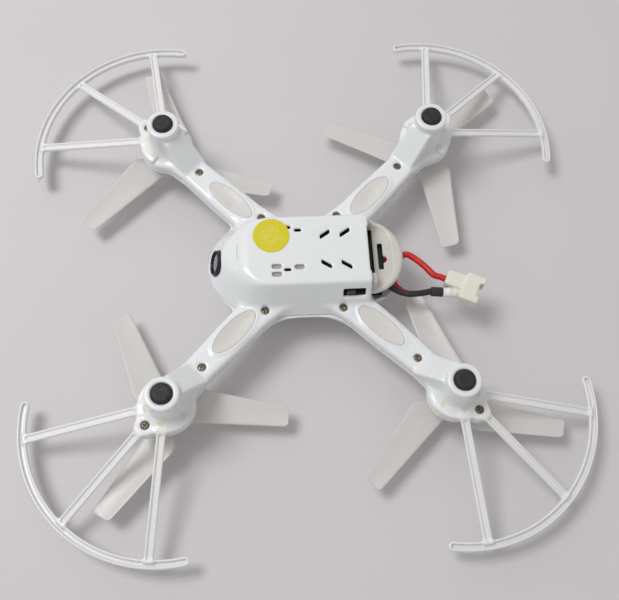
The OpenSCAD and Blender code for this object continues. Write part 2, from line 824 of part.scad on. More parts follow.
foot_cap(REAR_RIGHT);  // foot_cap_rear_right
guard_screws();
arm_screws();
body_screws();
round_label();
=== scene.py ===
"""Looks of the mini palm drone: smooth mouldings, blades, leads, materials, studio and camera."""
import math

import bpy
import numpy as np
from mathutils import Matrix, Vector


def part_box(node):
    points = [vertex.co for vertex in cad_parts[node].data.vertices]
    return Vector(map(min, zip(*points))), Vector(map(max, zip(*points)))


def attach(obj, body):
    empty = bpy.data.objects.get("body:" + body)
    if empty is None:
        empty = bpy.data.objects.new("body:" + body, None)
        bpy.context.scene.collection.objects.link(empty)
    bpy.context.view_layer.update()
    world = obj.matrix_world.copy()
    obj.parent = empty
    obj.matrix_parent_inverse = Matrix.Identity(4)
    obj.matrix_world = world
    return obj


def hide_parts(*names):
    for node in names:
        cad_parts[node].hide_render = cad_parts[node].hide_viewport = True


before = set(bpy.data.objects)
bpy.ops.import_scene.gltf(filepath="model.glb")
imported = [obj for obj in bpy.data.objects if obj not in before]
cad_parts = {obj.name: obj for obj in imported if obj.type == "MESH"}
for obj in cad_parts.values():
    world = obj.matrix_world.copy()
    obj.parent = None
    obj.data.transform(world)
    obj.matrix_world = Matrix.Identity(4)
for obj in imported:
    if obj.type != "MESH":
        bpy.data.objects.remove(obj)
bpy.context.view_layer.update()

MM = 0.001
ROOT2 = math.sqrt(2)
CORNERS = {"front_left": (1, -1), "front_right": (-1, -1), "rear_left": (1, 1), "rear_right": (-1, 1)}


# ---- places, in millimetres, read from the frame ----

def node_box(node):
    """Lowest and highest corners of a CAD node in millimetres."""
    low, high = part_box(node)
    return np.array(low) / MM, np.array(high) / MM


def centre(node):
    low, high = node_box(node)
    return (low + high) / 2


def corner_of(node, half):
    """Distance from the centre planes of the outermost item in a group of identical items."""
    high = node_box(node)[1]
    return high[:2] - half


MOTOR = centre("motor_shaft_rear_left")[:2]
FOOT_TOP = node_box("foot_cap_rear_left")[1][2]
LENS = centre("arm_lens_rear_left")
LENS_LOW = node_box("arm_lens_rear_left")[0][2]
LENS_HALF_LEN = 6.8
LENS_HALF_WIDE = 2.5
SCREW_R = 0.95
GUARD_SCREW = corner_of("guard_screws", SCREW_R)
ARM_SCREW = corner_of("arm_screws", SCREW_R)
BODY_SCREW_LOW, BODY_SCREW_HIGH = node_box("body_screws")
BELLY_Z = node_box("round_label")[1][2]
PART_Z = node_box("bottom_shell")[1][2]
CANOPY_Z = node_box("top_shell")[1][2]
DOOR_LOW, DOOR_HIGH = node_box("battery_door")
TAIL_END_Y = DOOR_HIGH[1]
PROP_TOP = node_box("propeller_rear_left")[1][2]
GUARD_LOW, GUARD_HIGH = node_box("guard_rear_left")
ARM_Z = 10.2
WALL = 0.9
SHELL_STEP = 0.28
SHELL_MARGIN = 9.5
LAP = 3
SCREW_HOLE_R = 0.98
CAMERA_HOLE_R = 3.14
BAY_HALF = 8.3
BAY_FRONT_Y = -14
HOOD_Z = 16.8
WELD_DISTANCE = 0.002
TUBE_R = 3.95
SLEEVE_R = 4.35
POD_R = 6.6
LOBE_R = 2.45
CAN_BORE_R = 3.02
BELLY_END_Y = 15.4
DOOR_WALL_DROP = 3.0
TAIL_HALF = 9.8


# ---- distance fields ----

def grid(low, high, step):
    """Open coordinate arrays that broadcast over a box."""
    axes = [np.arange(a, b + step, step, dtype=np.float32) for a, b in zip(low, high)]
    x, y, z = axes
    return x[:, None, None], y[None, :, None], z[None, None, :]


def blend_min(a, b, k):
    """Union of two fields with a fillet about k wide."""
    h = np.maximum(k - np.abs(a - b), 0) / k
    return np.minimum(a, b) - h * h * k / 4


def blend_max(a, b, k):
    """Intersection of two fields with a rounded edge about k wide."""
    return -blend_min(-a, -b, k)


def cut(a, b, k=0.3):
    """Field a with b taken away."""
    return blend_max(a, -b, k)


def between(value, low, high):
    """Negative between low and high."""
    return np.abs(value - (low + high) / 2) - (high - low) / 2


def block(x, y, z, low, high, k=0.3):
    """A box between two corners with rounded edges."""
    side = blend_max(between(x, low[0], high[0]), between(y, low[1], high[1]), k)
    return blend_max(side, between(z, low[2], high[2]), k)


def facets(x, y, z, low_z, high_z, spec, k):
    """A tapering form: each facet faces angle (from +X towards the nose) and lies reach_low and
    reach_high from the middle at the two heights."""
    field = None
    for angle, reach_low, reach_high in spec:
        turn = math.radians(angle)
        slope = (reach_high - reach_low) / (high_z - low_z)
        out = x * math.cos(turn) - y * math.sin(turn)
        d = (out - reach_low - (z - low_z) * slope) / math.hypot(1, slope)
        field = d if field is None else blend_max(field, d, k)
    return field


def surface(field, low, step):
    """Vertices and quads of the zero level of a field, by surface nets."""
    inside = field < 0
    shape = np.array(field.shape) - 1
    spans = [(slice(0, -1), slice(1, None))] * 3
    count = np.zeros(shape, np.uint8)
    for i in range(8):
        count += inside[spans[0][i & 1], spans[1][i >> 1 & 1], spans[2][i >> 2]]
    active = (count > 0) & (count < 8)
    number = np.full(shape, -1, np.int32)
    cells = np.argwhere(active)
    number[active] = np.arange(len(cells))
    total = np.zeros((len(cells), 3))
    hits = np.zeros(len(cells))
    corners = [np.array([i & 1, i >> 1 & 1, i >> 2]) for i in range(8)]
    for a in range(8):
        for axis in range(3):
            if corners[a][axis]:
                continue
            step_to = np.eye(3, dtype=int)[axis]
            pa, pb = cells + corners[a], cells + corners[a] + step_to
            fa = field[pa[:, 0], pa[:, 1], pa[:, 2]]
            fb = field[pb[:, 0], pb[:, 1], pb[:, 2]]
            crossed = (fa < 0) != (fb < 0)
            t = fa[crossed] / (fa[crossed] - fb[crossed])
            total[crossed] += corners[a] + t[:, None] * step_to
            hits[crossed] += 1
    points = (cells + total / hits[:, None]) * step + np.array(low)
    quads = []
    for axis in range(3):
        first, second = (axis + 1) % 3, (axis + 2) % 3
        here = [slice(1, -1)] * 3
        ahead = [slice(1, -1)] * 3
        here[axis], ahead[axis] = slice(0, -1), slice(1, None)
        here, ahead = tuple(here), tuple(ahead)
        lower = inside[here]
        change = lower != inside[ahead]
        at = np.argwhere(change)
        at[:, first] += 1
        at[:, second] += 1
        u, v = np.eye(3, dtype=int)[first], np.eye(3, dtype=int)[second]
        ring = [at - u - v, at - v, at, at - u]
        quad = np.stack([number[r[:, 0], r[:, 1], r[:, 2]] for r in ring], axis=1)
        outward = lower[change]
        quads.append(np.where(outward[:, None], quad, quad[:, ::-1]))
    return points, np.concatenate(quads)


# ---- meshes ----

def link(name, data):
    """A new object in the scene."""
    obj = bpy.data.objects.new(name, data)
    bpy.context.scene.collection.objects.link(obj)
    return obj


def make_object(name, points, faces, body, node, slot_name):
    """A smooth mesh from points in millimetres that rides on a body and stands for a CAD node."""
    mesh = bpy.data.meshes.new(name)
    mesh.vertices.add(len(points))
    mesh.vertices.foreach_set("co", (np.asarray(points) * MM).astype(np.float32).ravel())
    mesh.loops.add(faces.size)
    mesh.loops.foreach_set("vertex_index", faces.astype(np.int32).ravel())
    mesh.polygons.add(len(faces))
    mesh.polygons.foreach_set("loop_start", np.arange(len(faces), dtype=np.int32) * faces.shape[1])
    mesh.update(calc_edges=True)
    mesh.polygons.foreach_set("use_smooth", np.full(len(mesh.polygons), True))
    mesh.update()
    obj = link(name, mesh)
    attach(obj, body)
    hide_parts(node)
    return obj


def joined(parts):
    """Points and faces of several (points, faces) pairs as one mesh."""
    starts = np.cumsum([0] + [len(points) for points, _ in parts])
    return (np.concatenate([points for points, _ in parts]),
            np.concatenate([faces + start for (_, faces), start in zip(parts, starts)]))


def mirrored(points, faces, signs):
    """A shape of the rear left corner, put in another corner."""
    return points * np.array([*signs, 1]), faces[:, ::-1] if signs[0] * signs[1] < 0 else faces


def in_corners(name, points, faces, node, slot_name):
    """Four pieces of the airframe from a shape of the rear left corner."""
    return [make_object(name + corner, *mirrored(points, faces, signs), "airframe", node + corner, slot_name)
            for corner, signs in CORNERS.items()]


def spin_z(angle):
    c, s = math.cos(angle), math.sin(angle)
    return np.array([[c, -s, 0], [s, c, 0], [0, 0, 1]])


def lathe(profile, sides=48):
    """Points and quads of a profile of (radius, height) turned about Z; both ends lie on the axis."""
    points, faces = [], []
    n = len(profile)
    for i in range(sides):
        a = 2 * math.pi * i / sides
        points += [(r * math.cos(a), r * math.sin(a), z) for r, z in profile]
    for i in range(sides):
        j = (i + 1) % sides
        faces += [(i * n + k, j * n + k, j * n + k + 1, i * n + k + 1) for k in range(n - 1)]
    return np.array(points, float), np.array(faces)


def closed_ring(profile, sides=64):
    """Points and quads of a closed profile turned about Z, such as a ring."""
    points, faces = lathe(profile, sides)
    n = len(profile)
    faces = faces.tolist()
    for i in range(sides):
        j = (i + 1) % sides
        faces.append((i * n + n - 1, j * n + n - 1, j * n, i * n))
    return points, np.array(faces)


def weld(obj):
    """Joins points that lie together, such as those on a lathe's axis, and drops empty faces."""
    bpy.context.view_layer.objects.active = obj
    modifier = obj.modifiers.new("weld", "WELD")
    modifier.merge_threshold = WELD_DISTANCE * MM
    bpy.ops.object.select_all(action="DESELECT")
    obj.select_set(True)
    bpy.ops.object.modifier_apply(modifier="weld")
    return obj


def curve_points(keys, steps=10):
    """A Catmull-Rom curve through the given points."""
    keys = [np.array(k, float) for k in keys]
    out = []
    for i in range(len(keys) - 1):
        p0, p1 = keys[max(i - 1, 0)], keys[i]
        p2, p3 = keys[i + 1], keys[min(i + 2, len(keys) - 1)]
        for s in range(steps):
            t = s / steps
            out.append(0.5 * (2 * p1 + (p2 - p0) * t + (2 * p0 - 5 * p1 + 4 * p2 - p3) * t * t
                              + (3 * p1 - p0 - 3 * p2 + p3) * t ** 3))
    out.append(keys[-1])
    return np.array(out)


def skin(rows):
    """Points and quads over rings of points that follow each other."""
    n, sides = rows.shape[:2]
    i, k = np.meshgrid(np.arange(n - 1), np.arange(sides), indexing="ij")
    a, b = i * sides + k, i * sides + (k + 1) % sides
    return rows.reshape(-1, 3), np.stack([b, b + sides, a + sides, a], axis=-1).reshape(-1, 4)


def tube(path, radius, sides=20):
    """Points and quads of a round tube along a path, with closed ends; radius may vary along it."""
    radius = np.broadcast_to(radius, len(path))
    tangent = np.gradient(path, axis=0)
    tangent /= np.linalg.norm(tangent, axis=1)[:, None]
    u = np.cross(tangent, (0.0, 0.0, 1.0))
    u /= np.linalg.norm(u, axis=1)[:, None]
    v = np.cross(tangent, u)
    angles = np.arange(sides) * 2 * math.pi / sides
    rings = (path[:, None] + radius[:, None, None]
             * (np.cos(angles)[None, :, None] * u[:, None] + np.sin(angles)[None, :, None] * v[:, None]))
    rows = np.concatenate([np.repeat(path[:1], sides, 0)[None], rings, np.repeat(path[-1:], sides, 0)[None]])
    return skin(rows)


# ---- airframe ----

CAMERA_TILT = math.radians(21)


def arm_axes(x, y):
    """Distance along and across the arm in each quadrant."""
    x, y = np.abs(x), np.abs(y)
    return (x + y) / ROOT2, (x - y) / ROOT2


def arm_field(x, y, z, inset, low, high):
    """An arm from inside the body to its pod, with rounded edges."""
    along, across = arm_axes(x, y)
    half = np.interp(along, [8, 13, 19, 26, 32, 38, 43], [6.6, 4.9, 4.1, 4.05, 3.75, 3.5, 3.9]) - inset
    side = blend_max(np.abs(across) - half, along - 45 + inset * 2, 1.5)
    side = np.maximum(side, 7 - along)
    return blend_max(side, between(z, low, high), 1.3)


def pod_field(x, y, z, low, high, grow=0.0):
    """A pod: a round box about the motor with a lobe for the guard's screw."""
    x, y = np.abs(x), np.abs(y)
    round_part = np.hypot(x - MOTOR[0], y - MOTOR[1]) - POD_R - grow
    lobe = np.hypot(x - GUARD_SCREW[0], y - GUARD_SCREW[1]) - LOBE_R - grow
    return blend_max(blend_min(round_part, lobe, 1.6), between(z, low, high), 1.0)


def motor_distance(x, y):
    return np.hypot(np.abs(x) - MOTOR[0], np.abs(y) - MOTOR[1])


def lens_field(x, y, grow):
    """Plan of the oval lenses, negative inside."""
    along, across = arm_axes(x, y)
    mid = math.hypot(LENS[0], LENS[1])
    half_len, half_wide = LENS_HALF_LEN + grow, LENS_HALF_WIDE + grow
    reach = np.sqrt(((along - mid) / half_len) ** 2 + (across / half_wide) ** 2) + 1e-6
    return (reach - 1) * half_wide * 1.2


LOWER_FACETS = [(0, 8.7, 13.2), (20, 11.7, 16.6), (45, 14.9, 20.2), (70, 17.6, 23.0), (90, 19.4, 23.9),
                (90, 16.3, 30.0), (-90, BELLY_END_Y, BELLY_END_Y)]
UPPER_FACETS = [(0, 13.6, 9.3), (20, 17.4, 12.2), (45, 20.9, 13.8), (70, 23.5, 15.4), (90, 23.9, 14.6),
                (-90, BELLY_END_Y + 0.9, 14.0)]


def gusset_field(x, y, z):
    """Sloped web with a flat face between an arm and its motor tube, on the body's side."""
    along, across = arm_axes(x, y)
    root, tip = np.array((37.8, ARM_Z - 0.1)), np.array((43.9, 3.1))
    run, fall = tip - root
    slope = -((along - root[0]) * -fall + (z - root[1]) * run) / math.hypot(run, fall)
    mid = (MOTOR[0] - MOTOR[1]) / ROOT2
    half = np.interp(along, [root[0], tip[0]], [3.3, 3.0])
    form = blend_max(slope, np.abs(across - mid) - half, 0.45)
    form = blend_max(form, tip[1] - z, 0.4)
    return np.maximum(form, np.maximum(along - 46, z - ARM_Z - 0.7))


def at_screws(x, y):
    """Distance from the nearest arm screw and from the nearest body screw."""
    x_abs, y_abs = np.abs(x), np.abs(y)
    arm = np.hypot(x_abs - ARM_SCREW[0], y_abs - ARM_SCREW[1])
    body_x = BODY_SCREW_HIGH[0] - SCREW_R
    front = np.hypot(x_abs - body_x, y - BODY_SCREW_LOW[1] - SCREW_R)
    rear = np.hypot(x_abs - body_x, y - BODY_SCREW_HIGH[1] + SCREW_R)
    return arm, np.minimum(front, rear)


def vents_field(x, y, z):
    """Slots and small windows through the belly."""
    holes = 1e3
    for side in (-1, 1):
        for at_x, at_y in ((3.9, 4.8), (4.2, 9.6)):
            turn = math.radians(-33 * side)
            dx, dy = x - side * at_x, y - at_y
            u = dx * math.cos(turn) + dy * math.sin(turn)
            holes = np.minimum(holes, blend_max(np.abs(u) - 0.46, np.abs(dy) - 1.2, 0.2))
    for at_x, at_y, half in ((5.2, -1.6, 0.85), (6.0, -4.0, 0.75), (-5.0, -4.4, 0.85)):
        holes = np.minimum(holes, blend_max(np.abs(x - at_x) - 0.38, np.abs(y - at_y) - half, 0.3))
    return np.maximum(holes, z - BELLY_Z - 3)


def dimples_field(x, y, z):
    """Three shallow blind marks on the belly."""
    marks = 1e3
    for at_x, at_y in ((-4.1, -7.0), (-6.1, -7.0), (-4.4, -1.6)):
        marks = np.minimum(marks, blend_max(np.abs(x - at_x) - 0.52, np.abs(y - at_y) - 1.1, 0.5))
    return np.maximum(marks, z - BELLY_Z - 0.65)


def tail_plan(x, y, shrink=0.0):
    """Plan of the half-elliptical tail, negative inside."""
    half, length = TAIL_HALF - shrink, TAIL_END_Y - BELLY_END_Y - shrink
    reach = np.sqrt((x / half) ** 2 + (np.maximum(y - BELLY_END_Y, 0) / length) ** 2) + 1e-6
    return (reach - 1) * length


def build_bottom_shell():
    low = (-MOTOR[0] - SHELL_MARGIN, -MOTOR[1] - SHELL_MARGIN, 0.3)
    high = (MOTOR[0] + SHELL_MARGIN, MOTOR[1] + SHELL_MARGIN, PART_Z + 0.6)
    x, y, z = grid(low, high, SHELL_STEP)
    x_abs = np.abs(x)
    body = facets(x_abs, y, z, BELLY_Z, PART_Z, LOWER_FACETS, 0.9)
    forward = np.clip((-y - 9) / 8, 0, 1)
    body = blend_max(body, BELLY_Z - z, 0.6 + 2.2 * forward * forward * (3 - 2 * forward))
    room = facets(x_abs, y, z, BELLY_Z, PART_Z, LOWER_FACETS, 1.2) + WALL
    room = np.maximum(room, BELLY_Z + WALL - z)
    shell = blend_min(body, arm_field(x, y, z, 0, ARM_Z, PART_Z + LAP), 1.0)
    around = motor_distance(x, y)
    pod = pod_field(x, y, z, ARM_Z + 0.4, PART_Z + LAP)
    shell = blend_min(shell, pod, 1.2)
    cone = TUBE_R + 1.3 * np.clip((z - 6.5) / 4.2, 0, 1) ** 2
    post = blend_max(around - cone, FOOT_TOP - 1.1 - z, 0.5)
    shell = blend_min(shell, post, 1.0)
    shell = blend_min(shell, gusset_field(x, y, z), 0.35)
    rim = blend_max(lens_field(x, y, 0.55), ARM_Z - 0.28 - z, 0.4)
    rim = np.maximum(rim, z - ARM_Z - 0.5)
    shell = blend_min(shell, rim, 0.5)
    arm_screw, body_screw = at_screws(x, y)
    hollow = np.minimum(room, arm_field(x, y, z, WALL, ARM_Z + WALL, PART_Z + 4))
    hollow = np.maximum(hollow, SLEEVE_R - around)
    hollow = np.maximum(hollow, 1.8 - np.minimum(arm_screw, body_screw))
    shell = cut(shell, hollow, 0.3)
    holes = np.minimum(arm_screw, body_screw) - SCREW_HOLE_R
    shell = cut(shell, np.maximum(holes, z - ARM_Z - 1.2), 0.35)
    shell = cut(shell, lens_field(x, y, 0.0), 0.15)
    shell = cut(shell, vents_field(x, y, z), 0.25)
    shell = cut(shell, dimples_field(x, y, z), 0.3)
    bore = np.maximum(around - CAN_BORE_R, 2.0 - z)
    shell = cut(shell, np.minimum(bore, np.maximum(around - 2.45, z - 3)), 0.3)
    screw = np.hypot(x_abs - GUARD_SCREW[0], np.abs(y) - GUARD_SCREW[1])
    shell = cut(shell, screw - 0.55, 0.3)
    shell = cut(shell, camera_distance(x, y, z)[0] - CAMERA_HOLE_R, 0.3)
    window = block(x, y, z, (-30, 8.6, 5.5), (-7.4, 13.9, 8.1), 0.5)
    shell = cut(shell, window, 0.35)
    deck_z = DOOR_LOW[2] + DOOR_WALL_DROP
    shell = cut(shell, block(x, y, z, (-9.2, BELLY_END_Y - 2.2, deck_z - 0.2), (9.2, 30, 30), 0.3), 0.3)
    shell = cut(shell, block(x, y, z, (-5.9, BELLY_END_Y - 0.35, 0), (5.9, 30, deck_z + 1), 0.3), 0.3)
    shell = cut(shell, np.maximum(z - 30, PART_Z - 0.08 - z), 0.25)
    points, faces = surface(shell, low, SHELL_STEP)
    mid = points[faces].mean(axis=1)
    # painted shade: faces inside the dimples get a dark grey for the shade in these recesses
    in_dimple_shade = dimples_field(mid[:, 0], mid[:, 1], mid[:, 2]) < 0.16
    in_dimple_shade &= (mid[:, 2] > BELLY_Z + 0.18) & (mid[:, 2] < BELLY_Z + WALL - 0.05)
    piece = make_object("bottom_moulding", points, faces, "airframe", "bottom_shell", "shell_plastic")
    return piece, in_dimple_shade


def camera_distance(x, y, z):
    """Distance from the camera's axis, and distance along it outwards, from the lens centre."""
    at = centre("camera_bezel")
    out_y, out_z = -math.cos(CAMERA_TILT), -math.sin(CAMERA_TILT)
    along = (y - at[1]) * out_y + (z - at[2]) * out_z
    off_y = y - at[1] - along * out_y
    off_z = z - at[2] - along * out_z
    return np.sqrt(x ** 2 + off_y ** 2 + off_z ** 2), along


def build_top_shell():
    low = (-MOTOR[0] - SHELL_MARGIN, -MOTOR[1] - SHELL_MARGIN, 9.8)
    high = (MOTOR[0] + SHELL_MARGIN, MOTOR[1] + SHELL_MARGIN, CANOPY_Z + 0.6)
    x, y, z = grid(low, high, SHELL_STEP)
    x_abs = np.abs(x)
    canopy = facets(x_abs, y, z, PART_Z, CANOPY_Z, UPPER_FACETS, 3.0)
    canopy = blend_max(canopy, z - CANOPY_Z, 5.0)
    panel = facets(x_abs, y, z, PART_Z, CANOPY_Z, [(0, 6.4, 5.6), (90, 16, 11), (-90, 12.5, 11)], 2.0)
    groove = np.abs(panel) - 0.35
    outside = canopy
    canopy = cut(canopy, np.maximum(groove, -0.45 - outside), 0.4)
    for at_y in (-3.2, 0.0, 3.2):
        louvre = block(x_abs, y - x_abs * 0.25, z, (8.2, at_y - 0.45, PART_Z + 4),
                       (20, at_y + 0.45, PART_Z + 7.5), 0.4)
        canopy = cut(canopy, np.maximum(louvre, -0.5 - outside), 0.3)
    roof = PART_Z + 2.2
    shell = blend_min(canopy, arm_field(x, y, z, 0, PART_Z - LAP, roof), 2.4)
    around = motor_distance(x, y)
    shell = blend_min(shell, pod_field(x, y, z, PART_Z - LAP, PART_Z + 1), 0.8)
    shell = blend_min(shell, blend_max(around - POD_R + 0.4, z - roof - 0.2, 1.0), 0.8)
    shell = blend_min(shell, blend_max(around - TUBE_R, z - 15.9, 0.5), 0.6)
    shell = np.maximum(shell, PART_Z - z)
    hood = blend_max(tail_plan(x, y), z - HOOD_Z, 1.4)
    hood = np.maximum(hood, np.maximum(BELLY_END_Y - 2 - y, 10.9 - z))
    hood = cut(hood, np.maximum(tail_plan(x, y, WALL), z - HOOD_Z + WALL), 0.3)
    hood = np.maximum(hood, np.minimum(PART_Z - z, BELLY_END_Y + 0.5 - y))
    hood = cut(hood, block(x, y, z, (-20, BELLY_END_Y - 3, 0), (-5.8, TAIL_END_Y + 1, 14.2), 0.3), 0.5)
    shell = blend_min(shell, hood, 0.6)
    room = outside + WALL
    hollow = np.minimum(room, arm_field(x, y, z, WALL, PART_Z - LAP, roof - WALL))
    arm_screw, body_screw = at_screws(x, y)
    hollow = np.maximum(hollow, SLEEVE_R - around)
    hollow = np.maximum(hollow, 1.6 - np.minimum(arm_screw, body_screw))
    shell = cut(shell, hollow, 0.3)
    shell = cut(shell, around - CAN_BORE_R, 0.3)
    bay = block(x, y, z, (-BAY_HALF, BAY_FRONT_Y, 0), (BAY_HALF, TAIL_END_Y + 4, HOOD_Z - 0.95), 0.5)
    shell = cut(shell, bay, 0.4)
    points, faces = surface(shell, low, SHELL_STEP)
    return make_object("top_moulding", points, faces, "airframe", "top_shell", "shell_plastic")


def build_door():
    """Battery door: a recessed deck inside a broad rounded rim, with a slot for the leads."""
    step = 0.14
    wall_half, wall_end = 8.4, BELLY_END_Y + 1.3
    low, high = DOOR_LOW - 0.5, DOOR_HIGH + 0.5
    x, y, z = grid(low, high, step)
    deck_z = DOOR_LOW[2] + DOOR_WALL_DROP
    form = blend_max(tail_plan(x, y, 0.06), between(z, deck_z, deck_z + 1.75), 1.3)
    recess = blend_max(tail_plan(x, y, 1.7), y - TAIL_END_Y + 3.2, 1.6)
    form = cut(form, np.maximum(recess, z - deck_z - 0.5), 0.8)
    form = cut(form, np.maximum(tail_plan(x, y, 1.2), deck_z + 1.1 - z), 0.3)
    form = np.maximum(form, BELLY_END_Y + 0.15 - y)
    slab = block(x, y, z, (-wall_half, BELLY_END_Y - 2.4, deck_z),
                 (wall_half, BELLY_END_Y + 0.7, deck_z + 1.1), 0.3)
    wall = block(x, y, z, (-wall_half, BELLY_END_Y + 0.15, DOOR_LOW[2]),
                 (wall_half, wall_end, deck_z + 1.1), 0.35)
    form = blend_min(form, np.minimum(slab, wall), 0.4)
    form = cut(form, block(x, y, z, (-5.75, 0, 0), (7.3, wall_end + 0.02, 30), 0.3), 0.3)
    form = cut(form, block(x, y, z, (-3.4, 17.9, 0), (3.4, 19.1, 30), 0.3), 0.3)
    form = cut(form, np.hypot(x + 0.8, y - 19.2) - 0.85, 0.3)
    points, faces = surface(form, low, step)
    return make_object("door_moulding", points, faces, "battery_door", "battery_door", "door_plastic")


# ---- guards ----

ARC_OFF = 1.8
ARC_R = GUARD_HIGH[0] - MOTOR[0] - ARC_OFF
BAND = 2.1
BAND_LOW = GUARD_HIGH[2] - 3.2


def spoke_field(x, y, z, start, end, low_start, low_end):
    """An inclined channel between two plan points, open below."""
    start, end = np.array(start), np.array(end)
    length = np.linalg.norm(end - start)
    u = (end - start) / length
    along = (x - start[0]) * u[0] + (y - start[1]) * u[1]
    across = (x - start[0]) * -u[1] + (y - start[1]) * u[0]
    base = low_start + (low_end - low_start) * np.clip(along / length, 0, 1)
    thick = 0.95 + 0.25 * np.clip(along / length, 0, 1)
    side = blend_max(np.abs(across) - BAND / 2, between(along, -0.2, length), 0.4)
    form = blend_max(side, np.maximum(base - z, z - base - thick), 0.4)
    groove = np.maximum(np.abs(across) - 0.5, between(along, 1.2, length - 0.6))
    return cut(form, np.maximum(groove, z - base - 0.55), 0.3)


def guard_mesh():
    """Points and faces of the rear left guard."""
    step = 0.2
    low = (MOTOR[0] - 8.5, MOTOR[1] - 8.5, GUARD_LOW[2] - 1.2)
    high = (GUARD_HIGH[0] + 0.6, GUARD_HIGH[1] + 0.6, GUARD_HIGH[2] + 0.5)
    x, y, z = grid(low, high, step)
    mid = ARC_R - BAND / 2
    cx, cy = MOTOR[0] + ARC_OFF, MOTOR[1] + ARC_OFF
    radial = np.hypot(x - cx, y - cy)
    q = radial - mid
    angle = np.degrees(np.arctan2(y - cy, x - cx))
    over = np.radians(np.maximum(-9.0 - angle, angle - 99.0)) * mid
    ends = np.hypot(q, np.maximum(over, 0))
    arc = blend_max(ends - BAND / 2, between(z, BAND_LOW, BAND_LOW + 3.2), 0.5)
    inner_top = np.maximum(q - 0.35, BAND_LOW + 1.5 - z)
    arc = cut(arc, inner_top, 0.4)
    groove = np.maximum(ends - 0.52, z - BAND_LOW - 0.9)
    arc = cut(arc, groove, 0.3)
    plate_low, plate_high = GUARD_LOW[2], GUARD_LOW[2] + 1.2
    spokes = None
    reach = mid - 0.3
    root = POD_R - 0.8
    lobe_end = GUARD_SCREW[0] - MOTOR[0] + 1.3
    diagonal = reach / ROOT2
    for start, end in (((root, 1.0), (ARC_OFF + reach, ARC_OFF + 3.0)),
                       ((1.0, root), (ARC_OFF + 3.0, ARC_OFF + reach)),
                       ((lobe_end, lobe_end), (ARC_OFF + diagonal, ARC_OFF + diagonal))):
        spoke = spoke_field(x, y, z, MOTOR + start, MOTOR + end, plate_low + 0.05, BAND_LOW + 0.1)
        spokes = spoke if spokes is None else np.minimum(spokes, spoke)
    form = blend_min(arc, spokes, 0.7)
    around = np.hypot(x - MOTOR[0], y - MOTOR[1])
    lobe = np.hypot(x - GUARD_SCREW[0], y - GUARD_SCREW[1])
    plan = blend_min(around - POD_R, lobe - LOBE_R, 1.6)
    plan = blend_max(plan, TUBE_R + 0.12 - around, 0.4)
    inward = (x - MOTOR[0] + y - MOTOR[1]) / ROOT2
    plan = blend_max(plan, -1.4 - inward, 0.5)
    collar = 1.4 * np.clip((6.2 - around) / 2.2, 0, 1) ** 2
    plate = blend_max(plan, np.maximum(plate_low - collar - z, z - plate_high), 0.5)
    form = blend_min(form, plate, 0.9)
    form = cut(form, np.maximum(lobe - 1.03, z - plate_low - 1.0), 0.35)
    form = cut(form, lobe - 0.53, 0.3)
    points, faces = surface(form, low, step)
    mid = points[faces].mean(axis=1) - (MOTOR[0], MOTOR[1], 0)
    out, side = (mid[:, 0] + mid[:, 1]) / ROOT2, np.abs(mid[:, 0] - mid[:, 1]) / ROOT2
    clips = (np.abs(out - 3.9) < 0.75) & (np.abs(side - 2.5) < 0.75)
    clips |= (np.abs(out + 0.5) < 0.6) & (np.abs(side - 4.9) < 0.75)
    clips &= mid[:, 2] < plate_low + 0.35
    return points, faces, clips


def build_guards():
    points, faces, clips = guard_mesh()
    return in_corners("guard_ring_", points, faces, "guard_", "guard_plastic"), clips


# ---- rotors ----

TIP_R = 28.0
HUB_CROWN = 1.9
BLADE_PITCH = math.radians(11)


def blade_mesh():
    """One blade along +X: a thin cambered section lofted from root to tip, leading edge at -Y."""
    stations = np.concatenate([np.linspace(1.3, 12, 16), np.linspace(12.8, TIP_R - 1.2, 18),
                               TIP_R - 1.2 + 1.15 * np.sin(np.linspace(0.2, 1, 7) * math.pi / 2)])
    lead = np.interp(stations, [1.2, 3.4, 8, TIP_R], [-1.4, -2.0, -2.05, -2.25])
    trail = np.interp(stations, [1.2, 3.2, 5.4, 6.4, 7.6, 9.5, 12, TIP_R],
                      [1.6, 3.1, 5.3, 5.95, 6.1, 5.75, 5.2, 2.5])
    tip = np.clip((stations - (TIP_R - 1.2)) / 1.2, 0, 1)
    shrink = 1.1 * (1 - np.sqrt(np.clip(1 - tip ** 2, 0, 1)))
    lead, trail = lead + shrink * 0.8, trail - shrink
    sides = 20
    around = np.arange(sides) * 2 * math.pi / sides
    rings = []
    for r, a, b in zip(stations, lead, trail):
        mid, half = (a + b) / 2, (b - a) / 2
        v = mid + half * np.cos(around)
        share = (v - a) / (b - a)
        camber = 0.35 * (1 - ((v - mid) / half) ** 2) * min(1, (r - 1) / 6)
        thick = 0.34 * np.sqrt(np.abs(np.sin(around))) * np.sign(np.sin(around)) * (1.15 - 0.5 * share)
        thick *= 1.25 - 0.5 * r / TIP_R
        twist = BLADE_PITCH * (1.12 - 0.24 * r / TIP_R)
        height = camber + thick
        y = v * math.cos(twist) + height * math.sin(twist)
        zed = -v * math.sin(twist) + height * math.cos(twist)
        rings.append(np.stack([np.full(sides, r), y, zed], axis=1))
    ends = [np.repeat(ring.mean(0)[None], sides, 0)[None] for ring in (rings[0], rings[-1])]
    return skin(np.concatenate([ends[0], rings, ends[1]]))


def hub_mesh(prop_z):
    """Rounded hub with a domed crown and a stepped skirt, bored for the shaft from below."""
    bore, rim = 0.42, 2.3
    profile = [(0, 1.3), (bore - 0.05, 1.3), (bore, 1.2), (bore, -1.9), (rim - 0.25, -1.9), (rim, -1.65),
               (rim, 1.1), (rim - 0.3, 1.4), (1.55, 1.45), (1.5, 1.75), (1.3, HUB_CROWN),
               (0, HUB_CROWN + 0.02)]
    return lathe([(r, prop_z + height) for r, height in profile], 48)


